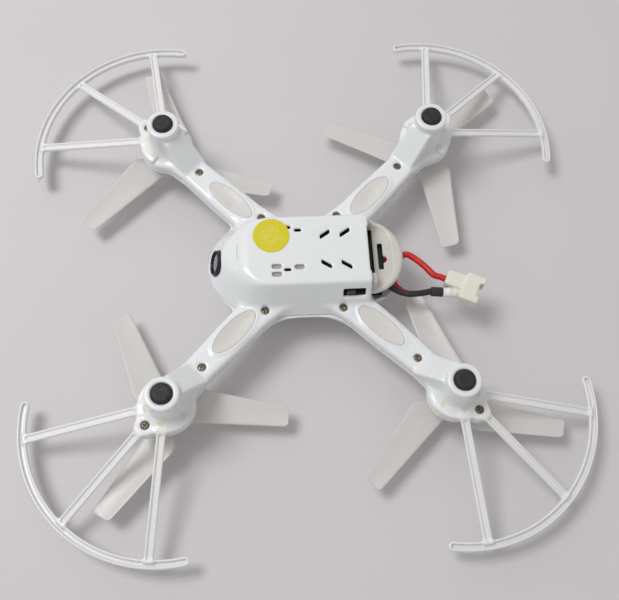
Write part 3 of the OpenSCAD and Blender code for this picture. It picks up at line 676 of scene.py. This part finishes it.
def rest_angle(node):
    """Angle of a blade's tip direction, from the farthest point of the CAD propeller."""
    low, high = node_box(node)
    mid = np.array([math.copysign(MOTOR[0], low[0] + high[0]), math.copysign(MOTOR[1], low[1] + high[1])])
    co = np.array([v.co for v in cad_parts[node].data.vertices]) / MM
    out = co[:, :2] - mid
    r = np.hypot(out[:, 0], out[:, 1])
    tips = out[(r > TIP_R - 2.5) & (co[:, 2] < 40)]
    return np.angle(np.mean(np.exp(3j * np.arctan2(tips[:, 1], tips[:, 0])))) / 3


def build_propellers():
    prop_z = PROP_TOP - HUB_CROWN
    blade_points, blade_faces = blade_mesh()
    hub = hub_mesh(prop_z)
    pieces = []
    for name, signs in CORNERS.items():
        hand = 1 if name in ("front_left", "rear_right") else -1
        turn = rest_angle("propeller_" + name)
        faces = blade_faces if hand > 0 else blade_faces[:, ::-1]
        parts = [hub]
        for k in range(3):
            spin = spin_z(turn + k * 2 * math.pi / 3)
            parts.append((blade_points * np.array([1, hand, 1]) @ spin.T + np.array([0, 0, prop_z]), faces))
        points, faces = joined(parts)
        points = points + np.array([signs[0] * MOTOR[0], signs[1] * MOTOR[1], 0])
        piece = make_object("rotor_blades_" + name, points, faces, "propeller_" + name,
                            "propeller_" + name, "propeller_plastic")
        pieces.append(weld(piece))
    return pieces


# ---- feet, screws, lenses, label ----

def build_feet():
    profile = [(0, 0.06), (1.2, 0.05), (1.75, 0), (2.05, 0.1), (2.28, 0.35), (2.38, 0.75), (2.38, 1.95),
               (0, 1.95)]
    points, faces = lathe(profile, 64)
    feet = in_corners("rubber_foot_", points + np.array([*MOTOR, 0]), faces, "foot_cap_", "foot_rubber")
    return [weld(foot) for foot in feet]


def screw_mesh():
    """A pan-head screw with a cross recess, head down at z = 0."""
    step = 0.06
    low, high = (-1.2, -1.2, -0.2), (1.2, 1.2, 3.8)
    x, y, z = grid(low, high, step)
    r = np.hypot(x, y)
    head = blend_max(r - SCREW_R, between(z, 0.0, 0.7), 0.3)
    dome = np.sqrt(r ** 2 + (z - 2.4) ** 2) - 2.4
    head = blend_max(head, dome, 0.1)
    ridge = 0.07 * np.cos(2 * math.pi * z / 0.5)
    shank = blend_max(r - 0.44 - ridge, between(z, 0.5, 3.55), 0.2)
    form = blend_min(head, shank, 0.15)
    half_wide, half_long = 0.13, 0.6
    slots = np.minimum(np.maximum(np.abs(x) - half_wide, np.abs(y) - half_long),
                       np.maximum(np.abs(y) - half_wide, np.abs(x) - half_long))
    slots = np.maximum(slots, z - 0.45 + np.abs(r) * 0.3)
    return surface(cut(form, slots, 0.08), low, step)


def build_screws():
    points, faces = screw_mesh()
    pieces = []
    for node in ("guard_screws", "arm_screws", "body_screws"):
        low, high = node_box(node)
        parts = []
        for i, x in enumerate((low[0] + SCREW_R, high[0] - SCREW_R)):
            for j, y in enumerate((low[1] + SCREW_R, high[1] - SCREW_R)):
                driven = spin_z(0.6 + 1.1 * i + 0.7 * j)
                parts.append((points @ driven.T + np.array([x, y, low[2]]), faces))
        pieces.append(make_object(node.replace("_screws", "_screw_set"), *joined(parts), "airframe",
                                  node, "screw_steel"))
    return pieces


def build_lenses():
    """Oval lens: a shallow dished window with a rounded lip."""
    step = 0.13
    half = (LENS_HALF_LEN + 0.4) / ROOT2 + 2
    low = (LENS[0] - half, LENS[1] - half, LENS_LOW - 0.3)
    high = (LENS[0] + half, LENS[1] + half, LENS_LOW + 2.0)
    x, y, z = grid(low, high, step)
    plan = lens_field(x, y, 0.02)
    dish = 0.3 * np.clip(-plan / 2.2, 0, 1)
    form = blend_max(plan, np.maximum(LENS_LOW + 0.2 + dish - z, z - LENS_LOW - 1.5), 0.15)
    return in_corners("light_lens_", *surface(form, low, step), "arm_lens_", "lens_milky")


def build_label():
    low, high = node_box("round_label")
    r = (high[0] - low[0]) / 2
    mid = (low + high) / 2
    t = high[2] - low[2]
    profile = [(0, t), (r - 0.02, t), (r, t * 0.6), (r - 0.02, 0.01), (r - 0.06, 0), (r - 0.12, 0),
               (r * 0.5, 0), (0, 0)]
    points, faces = lathe(profile[::-1], 96)
    points = points + np.array([mid[0], mid[1], low[2]])
    return weld(make_object("dot_label", points, faces, "airframe", "round_label", "label_yellow"))


def build_switch():
    """Black switch case, a black sheet behind the window as painted shade inside the body, and a slot for the
    slider.
    """
    step = 0.12
    low, high = node_box("switch_body")
    start = (-10.2, low[1] - 0.5, 4.6)
    x, y, z = grid(start, (high[0] + 0.3, high[1] + 0.5, 9.2), step)
    board_top = high[2] - 1.5
    case = block(x, y, z, (-8.5, low[1] + 0.1, board_top), (high[0], high[1], high[2]), 0.3)
    room = facets(np.abs(x), y, z, BELLY_Z, PART_Z, LOWER_FACETS, 1.2) + WALL
    # painted shade: a black sheet along the inner wall behind the switch window
    shade_sheet = np.maximum(np.maximum(room + 0.14, -1.3 - room), between(z, 5.0, 8.7))
    shade_sheet = np.maximum(shade_sheet, np.maximum(between(y, low[1] + 0.1, high[1]), x - high[0]))
    case = np.minimum(case, shade_sheet)
    slider_low, slider_high = node_box("switch_slider")
    slot_low = (-20, slider_low[1] - 0.15, slider_low[2] - 0.08)
    slot_high = (-6.6, slider_high[1] + 2.1, slider_high[2] + 0.08)
    case = cut(case, block(x, y, z, slot_low, slot_high, 0.2), 0.15)
    return make_object("switch_case", *surface(case, start, step), "airframe", "switch_body", "switch_black")


# ---- nose camera ----

def on_camera(points):
    """Moves a shape built about the local +Z onto the camera's axis."""
    mid = centre("camera_bezel")
    tilt = math.pi / 2 + CAMERA_TILT
    c, s = math.cos(tilt), math.sin(tilt)
    spin = np.array([[1, 0, 0], [0, c, -s], [0, s, c]])
    return points @ spin.T + np.array([0, mid[1], mid[2]])


def build_camera():
    ring = [(2.62, -1.4), (3.0, -1.4), (3.06, -1.2), (3.06, 0.7), (3.02, 0.8), (2.94, 0.86), (2.8, 0.86),
            (2.68, 0.8), (2.62, 0.65)]
    points, faces = closed_ring(ring, 72)
    bezel = make_object("camera_ring", on_camera(points), faces, "airframe", "camera_bezel", "camera_navy")
    cone = [(0, -4.5), (2.5, -4.5), (2.58, -4.4), (2.58, -0.4), (2.5, -0.32), (2.1, -0.32), (2.0, -0.5),
            (1.9, -1.1), (0, -1.15)]
    points, faces = lathe(cone, 64)
    barrel = weld(make_object("camera_tube", on_camera(points), faces, "airframe",
                              "camera_barrel", "camera_black"))
    dome = [(0, -0.28), (2.58, -0.28)] + [(2.6 * math.cos(a), 0.1 + 0.5 * math.sin(a))
                                        for a in np.linspace(0, math.pi / 2, 10)]
    points, faces = lathe(dome, 64)
    glass = weld(make_object("camera_window", on_camera(points), faces, "airframe",
                             "camera_glass", "camera_glass"))
    return bezel, barrel, glass


# ---- battery leads and plug ----

PLUG_TURN = math.radians(26)
PLUG_LEN = 9.7
PLUG_HALF = 3.65
PLUG_HALF_T = 2.0
PLUG_SHOULDER = 4.6
PIN_OFF = 1.25
CONTACT_MID_Y = 6.65
PLUG_OUT = np.array([-math.sin(PLUG_TURN), math.cos(PLUG_TURN), 0])
PLUG_SIDE = np.array([math.cos(PLUG_TURN), math.sin(PLUG_TURN), 0])
PLUG_BACK = centre("plug_contacts") - PLUG_OUT * CONTACT_MID_Y
COLLAR_START = PLUG_BACK + (-3.2, -0.9, 0)
COLLAR_TURN = math.radians(6)
COLLAR_LEN = 4.7
COLLAR_OUT = np.array([-math.sin(COLLAR_TURN), math.cos(COLLAR_TURN), 0])


def build_leads():
    start_y = node_box("red_lead")[0][1]
    red_path = curve_points([
        (0.4, start_y, 12.8), (0.4, 20.3, 12.8), (-0.7, 21.3, 12.9), (-3.2, 21.0, 13.2),
        (-6.0, 21.0, 13.6), (-7.3, 22.6, 13.6), (-7.9, 24.3, 13.8), (-7.7, 25.0, 14.7),
        (-6.7, 23.7, 15.0), (-4.8, 22.2, 14.9), (-2.0, 22.2, 14.6), (0.5, 23.2, 13.2),
        (1.7, 25.3, 12.2), (0.6, 27.4, 12.2), (-1.6, 29.7, 12.2), (-4.0, 31.7, 12.2),
        (-4.7, 33.4, 12.2), PLUG_BACK + PLUG_SIDE * 0.3 + PLUG_OUT * 0.3], 12)
    shrink_start = np.array((-8.5, 30.3, 12.2))
    black_path = curve_points([
        (-6.2, start_y, 12.0), (-6.2, 20.3, 11.95), (-7.4, 21.5, 11.9), (-8.3, 22.9, 12.0),
        (-8.9, 25.0, 12.0), (-8.9, 27.4, 12.1), shrink_start, shrink_start + (0.02, 0.8, 0)], 12)
    shrink_path = curve_points([shrink_start + (0.01, 0.3, 0), COLLAR_START - COLLAR_OUT * 1.5,
                                COLLAR_START - COLLAR_OUT * 0.03], 16)
    pieces = []
    for colour, path, lead_r in (("red", red_path, 0.8), ("black", black_path, 0.78)):
        t = np.linspace(0, 1, len(path))
        radius = lead_r * (1 + 0.02 * np.sin(t * 60) + 0.015 * np.sin(t * 23 + 1))
        pieces.append(weld(make_object("battery_wire_" + colour, *tube(path, radius), "battery_pack",
                                       colour + "_lead", "lead_" + colour)))
    t = np.linspace(0, 1, len(shrink_path))
    radius = 1.17 - 0.1 * np.exp(-t * 30) - 0.06 * np.exp(-(1 - t) * 30) + 0.012 * np.sin(t * 25)
    pieces.append(weld(make_object("shrink_sleeve", *tube(shrink_path, radius, 24), "battery_pack",
                                   "heat_shrink", "shrink_black")))
    return pieces


def build_plug():
    """Two-pin plug housing: narrow back, wide mouth with two prongs, and a collar round the black lead."""
    step = 0.1
    low, high = (-5.4, -3.2, -3.1), (4.8, PLUG_LEN + 0.5, 3.1)
    x, y, z = grid(low, high, step)
    wide, thick = PLUG_HALF, PLUG_HALF_T
    back = block(x, y, z, (-1.4, 0, -thick + 0.3), (2.4 + 0.08 * np.clip(y, 0, 5), 5, thick - 0.3), 0.6)
    mouth = block(x, y, z, (-wide, PLUG_SHOULDER, -thick), (wide, PLUG_LEN, thick), 0.6)
    mouth = blend_max(mouth, y - PLUG_LEN + 0.25 - 0.07 * x, 0.5)
    form = blend_min(back, mouth, 0.6)
    start = COLLAR_START - PLUG_BACK
    start = (start @ PLUG_SIDE, start @ PLUG_OUT)
    axis = (COLLAR_OUT @ PLUG_SIDE, COLLAR_OUT @ PLUG_OUT)
    along = (x - start[0]) * axis[0] + (y - start[1]) * axis[1]
    off = np.hypot((x - start[0]) * axis[1] - (y - start[1]) * axis[0], z)
    collar = blend_max(off - 1.2 - 0.05 * np.cos(along * 4.2), between(along, 0, COLLAR_LEN), 0.35)
    form = blend_min(form, collar, 0.3)
    mouth_wall = 0.7
    form = cut(form, block(x, y, z, (-wide + mouth_wall, 5.8, -thick + mouth_wall),
                           (wide - mouth_wall, 30, thick - mouth_wall), 0.4), 0.3)
    form = cut(form, block(x, y, z, (-1.8, 8.4, -9), (1.8, 30, 9), 0.7), 0.5)
    for side in (-1, 1):
        form = cut(form, block(x - side * PIN_OFF, y, z, (-0.55, 5, -0.55), (0.55, 7, 0.55), 0.2), 0.2)
    form = cut(form, block(x - 0.3, y, z, (-0.9, -9, -0.9), (0.9, 0.4, 0.9), 0.3), 0.25)
    points, faces = surface(form, low, step)
    mid = points[faces].mean(axis=1)
    along = (mid[:, 0] - start[0]) * axis[0] + (mid[:, 1] - start[1]) * axis[1]
    is_collar = (along < 1.6) & (mid[:, 0] < -1.3)
    points = PLUG_BACK + points @ np.array([PLUG_SIDE, PLUG_OUT, (0, 0, 1)])
    piece = make_object("plug_shell", points, faces, "battery_pack", "plug_housing", "plug_plastic")
    return piece, is_collar


# ---- materials ----

class Shader:
    """A small helper that adds nodes to a material and joins them."""

    def __init__(self, name):
        self.material = bpy.data.materials.new(name)
        self.material.use_nodes = True
        self.tree = self.material.node_tree
        self.base = self.tree.nodes["Principled BSDF"]
        self.place = self.add("ShaderNodeTexCoord").outputs["Object"]

    def add(self, kind, **inputs):
        node = self.tree.nodes.new(kind)
        for key, value in inputs.items():
            self.put(node.inputs[key.replace("_", " ")], value)
        return node

    def put(self, socket, value):
        if isinstance(value, bpy.types.NodeSocket):
            self.tree.links.new(value, socket)
        else:
            socket.default_value = value

    def noise(self, size_mm, detail=3.0, distortion=0.0):
        """Noise from 0 to 1 with features about size_mm across."""
        node = self.add("ShaderNodeTexNoise", Vector=self.place, Scale=1 / (size_mm * MM), Detail=detail,
                        Distortion=distortion)
        return node.outputs["Fac"]

    def span(self, value, low, high, to_low, to_high):
        node = self.add("ShaderNodeMapRange", Value=value)
        for socket, number in zip(("From Min", "From Max", "To Min", "To Max"), (low, high, to_low, to_high)):
            node.inputs[socket].default_value = number
        return node.outputs["Result"]

    def math(self, operation, *values):
        node = self.tree.nodes.new("ShaderNodeMath")
        node.operation = operation
        for socket, value in zip(node.inputs, values):
            self.put(socket, value)
        return node.outputs["Value"]

    def mix(self, share, a, b):
        node = self.tree.nodes.new("ShaderNodeMix")
        node.data_type = "RGBA"
        self.put(node.inputs["Factor"], share)
        self.put(node.inputs["A"], a if isinstance(a, bpy.types.NodeSocket) else (*a, 1))
        self.put(node.inputs["B"], b if isinstance(b, bpy.types.NodeSocket) else (*b, 1))
        return node.outputs["Result"]

    def bump(self, height, strength, depth_mm):
        node = self.add("ShaderNodeBump", Height=height, Strength=strength, Distance=depth_mm * MM)
        return node.outputs["Normal"]

    def crevices(self, reach_mm=2.0):
        """1 in open places and 0 in deep corners, used for painted shade there."""
        node = self.add("ShaderNodeAmbientOcclusion", Distance=reach_mm * MM)
        node.samples = 4
        return node.outputs["AO"]

    def set(self, **inputs):
        for key, value in inputs.items():
            socket = self.base.inputs[key.replace("_", " ")]
            if isinstance(value, tuple) and len(value) == 3 and socket.type == "RGBA":
                value = (*value, 1)
            self.put(socket, value)
        return self


def moulded_plastic(name, colour, shade, roughness, grain=0.02, glow=0.0, dust_and_shade=(0.55, 0.52, 0.48)):
    """Injection-moulded plastic: faint cloudiness, fine texture, handling marks, and painted shade that
    darkens corners and creases.
    """
    s = Shader(name)
    cloud = s.span(s.noise(14, 4), 0.35, 0.65, 0, 1)
    tint = s.mix(cloud, colour, shade)
    # painted shade: ambient occlusion mixes a darker beige into corners and creases
    painted_corner_shade = s.span(s.crevices(), 0.2, 0.75, 0.6, 0)
    tint = s.mix(painted_corner_shade, tint, dust_and_shade)
    marks = s.span(s.noise(3.2, 6, 0.6), 0.45, 0.75, roughness, roughness + 0.14)
    fine = s.noise(0.16, 2)
    broad = s.noise(5.0, 1)
    height = s.math("MULTIPLY_ADD", broad, 1.6, fine)
    s.set(Base_Color=tint, Roughness=marks, IOR=1.5, Normal=s.bump(height, 0.35, grain))
    if glow:
        s.set(Subsurface_Weight=glow, Subsurface_Scale=1.5 * MM, Subsurface_Radius=(1.0, 0.95, 0.85))
    return s


def blade_material():
    """Thin translucent blade plastic: light passes through, with faint flow lines."""
    s = moulded_plastic("blade_translucent", (0.88, 0.87, 0.855), (0.86, 0.845, 0.825), 0.28, 0.015)
    thin = s.tree.nodes.new("ShaderNodeBsdfTranslucent")
    thin.inputs["Color"].default_value = (0.90, 0.87, 0.84, 1)
    join = s.tree.nodes.new("ShaderNodeMixShader")
    join.inputs["Fac"].default_value = 0.3
    out = s.tree.nodes["Material Output"]
    s.tree.links.new(s.base.outputs["BSDF"], join.inputs[1])
    s.tree.links.new(thin.outputs["BSDF"], join.inputs[2])
    s.tree.links.new(join.outputs["Shader"], out.inputs["Surface"])
    return s.material


def lens_material():
    """Milky diffuser with fine frosting."""
    s = moulded_plastic("milky_lens", (0.80, 0.775, 0.74), (0.74, 0.715, 0.68), 0.22, 0.03, 0.4)
    s.set(Coat_Weight=0.5, Coat_Roughness=0.12)
    return s.material


def rubber_material():
    s = Shader("foot_rubber_black")
    grit = s.noise(0.35, 4)
    dust_and_shade = s.span(s.noise(1.1, 5), 0.5, 0.8, 0, 0.5)
    s.set(Base_Color=s.mix(dust_and_shade, (0.016, 0.016, 0.019), (0.07, 0.068, 0.066)),
          Roughness=s.span(grit, 0.3, 0.7, 0.5, 0.75), Normal=s.bump(grit, 0.5, 0.05))
    return s.material


def metal_material(name, colour, roughness, scratch_mm=0.4):
    s = Shader(name)
    wear = s.noise(scratch_mm, 5, 0.4)
    s.set(Base_Color=s.mix(s.span(wear, 0.35, 0.65, 0, 1), colour, tuple(c * 0.6 for c in colour)),
          Metallic=1.0, Roughness=s.span(wear, 0.3, 0.7, roughness - 0.08, roughness + 0.15),
          Normal=s.bump(wear, 0.3, 0.02))
    return s.material


def glossy_dark(name, colour, roughness):
    s = Shader(name)
    dust_and_shade = s.span(s.noise(0.8, 5), 0.55, 0.85, 0, 0.35)
    s.set(Base_Color=s.mix(dust_and_shade, colour, tuple(c + 0.06 for c in colour)),
          Roughness=s.span(s.noise(1.5, 3), 0.3, 0.7, roughness, roughness + 0.15),
          Normal=s.bump(s.noise(0.3, 3), 0.2, 0.02))
    return s.material


def camera_glass_material():
    s = Shader("camera_window_glass")
    streak = s.span(s.noise(0.7, 3, 1.0), 0.42, 0.6, 0, 1)
    s.set(Base_Color=s.mix(streak, (0.07, 0.058, 0.05), (0.30, 0.27, 0.235)), Roughness=0.12,
          Coat_Weight=0.6, Coat_Roughness=0.06, Normal=s.bump(s.noise(0.8, 2), 0.1, 0.02))
    return s.material


def label_material(mid):
    """Printed paper dot: yellow ink with paler fibres and a rubbed, faded middle."""
    s = Shader("label_paper_yellow")
    fibres = s.span(s.noise(0.5, 6, 1.2), 0.45, 0.75, 0, 0.35)
    shift = s.add("ShaderNodeVectorMath")
    shift.operation = "DISTANCE"
    s.put(shift.inputs[0], s.place)
    shift.inputs[1].default_value = tuple(mid * MM)
    inner = s.span(shift.outputs["Value"], 2.2 * MM, 3.2 * MM, 1, 0)
    worn = s.span(s.noise(0.9, 4, 1.4), 0.5, 0.6, 0, 0.75)
    faded = s.math("MULTIPLY", inner, worn)
    ink = s.mix(fibres, (0.72, 0.63, 0.003), (0.75, 0.67, 0.02))
    s.set(Base_Color=s.mix(faded, ink, (0.78, 0.70, 0.20)),
          Roughness=s.span(fibres, 0, 0.35, 0.42, 0.55), Normal=s.bump(s.noise(0.25, 4), 0.3, 0.02))
    return s.material


def wire_material(name, colour, roughness=0.35):
    """Silicone or PVC insulation: slight sheen, dusty streaks."""
    s = Shader(name)
    streak = s.span(s.noise(1.4, 5, 0.5), 0.4, 0.7, 0, 1)
    s.set(Base_Color=s.mix(streak, colour, tuple(min(1, c * 1.25 + 0.015) for c in colour)),
          Roughness=s.span(streak, 0, 1, roughness, roughness + 0.2),
          Normal=s.bump(s.noise(0.4, 3), 0.35, 0.03))
    return s.material


def board_material():
    """Circuit board: solder mask with copper traces under it."""
    s = Shader("circuit_board_green")
    wave = s.add("ShaderNodeTexWave", Vector=s.place, Scale=420.0, Distortion=3.0, Detail=1.0)
    traces = s.span(wave.outputs["Fac"], 0.55, 0.62, 0, 1)
    s.set(Base_Color=s.mix(traces, (0.006, 0.045, 0.02), (0.012, 0.09, 0.04)), Roughness=0.35,
          Normal=s.bump(traces, 0.4, 0.03))
    return s.material


def foil_material():
    """Crinkled pouch foil with its tail end painted black as painted shade for the dark bay."""
    s = Shader("pouch_foil")
    crinkle = s.noise(2.2, 5, 0.9)
    place = s.add("ShaderNodeSeparateXYZ", Vector=s.place)
    # painted shade: the pouch's tail end is painted black for the dark bay behind the door's slot
    painted_dark_end = s.span(place.outputs["Y"], 13.8 * MM, 14.0 * MM, 0, 1)
    foil = s.mix(crinkle, (0.42, 0.43, 0.45), (0.6, 0.6, 0.62))
    s.set(Base_Color=s.mix(painted_dark_end, foil, (0.012, 0.011, 0.012)), Metallic=s.span(painted_dark_end, 0, 1, 0.8, 0),
          Roughness=s.span(crinkle, 0.3, 0.7, 0.25, 0.45), Normal=s.bump(crinkle, 0.6, 0.2))
    return s.material


def paint(objects, material):
    for obj in objects if isinstance(objects, (list, tuple)) else [objects]:
        if obj.data.materials:
            obj.data.materials[0] = material
        else:
            obj.data.materials.append(material)


def paint_faces(obj, chosen, material):
    """Gives a second material to the chosen faces of an object."""
    obj.data.materials.append(material)
    obj.data.polygons.foreach_set("material_index", chosen.astype(np.int32))


def paint_nodes(prefixes, material):
    """Gives a material to the CAD nodes that stay, by the start of their names."""
    for name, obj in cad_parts.items():
        if name.startswith(prefixes) and not obj.hide_render:
            for i in range(len(obj.data.materials)):
                obj.data.materials[i] = material


# ---- studio ----

TABLE_HALF = 3.0
LAMPS = (("key", (-0.08, -0.28, 0.6), 0.26, 1.9), ("fill", (-0.4, -0.2, 0.5), 0.6, 0.35))
ROOM_LIGHT = 0.44
VIEW_LENS = 50.456
VIEW_PLACE = (-0.085948, -0.011160, -0.183391)
VIEW_TURN = (-158.506, 2.190, 93.295)


def build_studio():
    """Pale table and soft lights on one empty. It turns over when the camera looks up from below,
    because the drone then lies on its canopy on the table."""
    studio = link("studio", None)
    table_mesh = bpy.data.meshes.new("table")
    half = TABLE_HALF
    corners = [(-half, -half, 0), (half, -half, 0), (half, half, 0), (-half, half, 0)]
    table_mesh.from_pydata(corners, [], [(0, 1, 2, 3)])
    table = link("table", table_mesh)
    table.parent = studio
    s = Shader("table_paper")
    cloud = s.span(s.noise(60, 3), 0.3, 0.7, 0, 1)
    s.set(Base_Color=s.mix(cloud, (0.70, 0.67, 0.687), (0.68, 0.657, 0.665)), Roughness=0.85,
          Normal=s.bump(s.noise(0.8, 4), 0.2, 0.05))
    paint(table, s.material)
    for name, place, size, power in LAMPS:
        light = bpy.data.lights.new(name, "AREA")
        light.shape = "DISK"
        light.size = size
        light.energy = power
        lamp = link(name, light)
        lamp.location = place
        lamp.rotation_mode = "QUATERNION"
        lamp.rotation_quaternion = Vector(place).to_track_quat("Z", "Y")
        lamp.parent = studio
    world = bpy.data.worlds.new("soft_room")
    bpy.context.scene.world = world
    world.use_nodes = True
    world.node_tree.nodes["Background"].inputs["Color"].default_value = (1.0, 0.985, 0.98, 1)
    world.node_tree.nodes["Background"].inputs["Strength"].default_value = ROOM_LIGHT
    return studio


def turn_studio(studio, camera, table_height):
    """Drivers that lay the table on the canopy's side when the camera is below the feet."""
    for path, index, raised in (("rotation_euler", 1, math.pi), ("location", 2, table_height)):
        driver = studio.driver_add(path, index).driver
        driver.type = "SCRIPTED"
        variable = driver.variables.new()
        variable.name = "height"
        variable.type = "TRANSFORMS"
        variable.targets[0].id = camera
        variable.targets[0].transform_type = "LOC_Z"
        variable.targets[0].transform_space = "WORLD_SPACE"
        driver.expression = f"{raised:.6f} if height < 0 else 0"


def build_camera_view():
    data = bpy.data.cameras.new("view")
    data.sensor_width = 36
    data.lens = VIEW_LENS
    data.clip_start, data.clip_end = 0.01, 10
    camera = link("view", data)
    camera.location = VIEW_PLACE
    camera.rotation_euler = [math.radians(a) for a in VIEW_TURN]
    bpy.context.scene.camera = camera
    return camera


# ---- assembly ----

bottom, dimple_shade_faces = build_bottom_shell()
top = build_top_shell()
door = build_door()
guards, clip_faces = build_guards()
rotors = build_propellers()
feet = build_feet()
screws = build_screws()
lenses = build_lenses()
label = build_label()
bezel, barrel, window = build_camera()
switch_case = build_switch()
red_wire, black_wire, sleeve = build_leads()
plug, collar_faces = build_plug()

SHELL = moulded_plastic("shell_white", (0.845, 0.875, 0.885), (0.86, 0.885, 0.89), 0.2, glow=0.12).material
GUARD = moulded_plastic("guard_white", (0.88, 0.895, 0.885), (0.86, 0.875, 0.865), 0.24, glow=0.15).material
# door: ivory tint of its own, made darker than the shell as painted shade of the recessed deck
DOOR_WITH_SHADE = moulded_plastic("door_ivory_painted_shade", (0.70, 0.68, 0.63), (0.66, 0.64, 0.59), 0.26, glow=0.1).material
PLUG = moulded_plastic("plug_ivory", (0.84, 0.83, 0.74), (0.81, 0.80, 0.70), 0.35, glow=0.2).material
# painted shade: dark grey for the shade inside the belly dimples
DIMPLE_SHADE = moulded_plastic("dimple_painted_shade", (0.36, 0.35, 0.33), (0.42, 0.41, 0.38), 0.5).material
CLIP = moulded_plastic("clip_ivory", (0.80, 0.77, 0.62), (0.76, 0.73, 0.58), 0.35).material
COLLAR = moulded_plastic("collar_white", (0.90, 0.90, 0.90), (0.88, 0.88, 0.88), 0.3).material
paint([bottom, top], SHELL)
paint_faces(bottom, dimple_shade_faces, DIMPLE_SHADE)
paint(guards, GUARD)
for guard in guards:
    paint_faces(guard, clip_faces, CLIP)
paint(door, DOOR_WITH_SHADE)
paint(rotors, blade_material())
paint(feet, rubber_material())
paint(screws, metal_material("screw_zinc", (0.30, 0.25, 0.19), 0.42))
paint(lenses, lens_material())
paint(label, label_material(centre("round_label")))
paint(bezel, glossy_dark("camera_ring_navy", (0.012, 0.013, 0.045), 0.25))
paint(switch_case, glossy_dark("switch_black", (0.010, 0.010, 0.013), 0.45))
paint(barrel, glossy_dark("camera_tube_black", (0.015, 0.014, 0.016), 0.4))
paint(window, camera_glass_material())
paint(red_wire, wire_material("wire_red", (0.58, 0.013, 0.010)))
paint(black_wire, wire_material("wire_black", (0.018, 0.014, 0.017)))
paint(sleeve, wire_material("sleeve_black", (0.02, 0.018, 0.024), 0.45))
paint(plug, PLUG)
paint_faces(plug, collar_faces, COLLAR)
paint_nodes(("main_board", "camera_board"), board_material())
paint_nodes(("battery_cell",), foil_material())
paint_nodes(("board_chips",), glossy_dark("chip_epoxy", (0.012, 0.012, 0.013), 0.4))
paint_nodes(("motor_can", "motor_shaft"), metal_material("brushed_steel", (0.55, 0.55, 0.56), 0.3))
paint_nodes(("motor_end_caps", "switch", "battery_board"),
            glossy_dark("cap_black", (0.012, 0.012, 0.014), 0.4))
paint_nodes(("plug_contacts",), metal_material("tin", (0.78, 0.77, 0.74), 0.3))
paint_nodes(("antenna_wire",), wire_material("antenna_grey", (0.22, 0.22, 0.22)))
paint_nodes(("motor_wires_red",), wire_material("fine_wire_red", (0.5, 0.03, 0.02)))
paint_nodes(("motor_wires_blue",), wire_material("fine_wire_blue", (0.02, 0.06, 0.35)))
paint_nodes(("arm_leds",), glossy_dark("led_cream", (0.7, 0.66, 0.45), 0.3))

view = build_camera_view()
turn_studio(build_studio(), view, (CANOPY_Z + 0.4) * MM)
bpy.context.scene.view_settings.view_transform = "Standard"
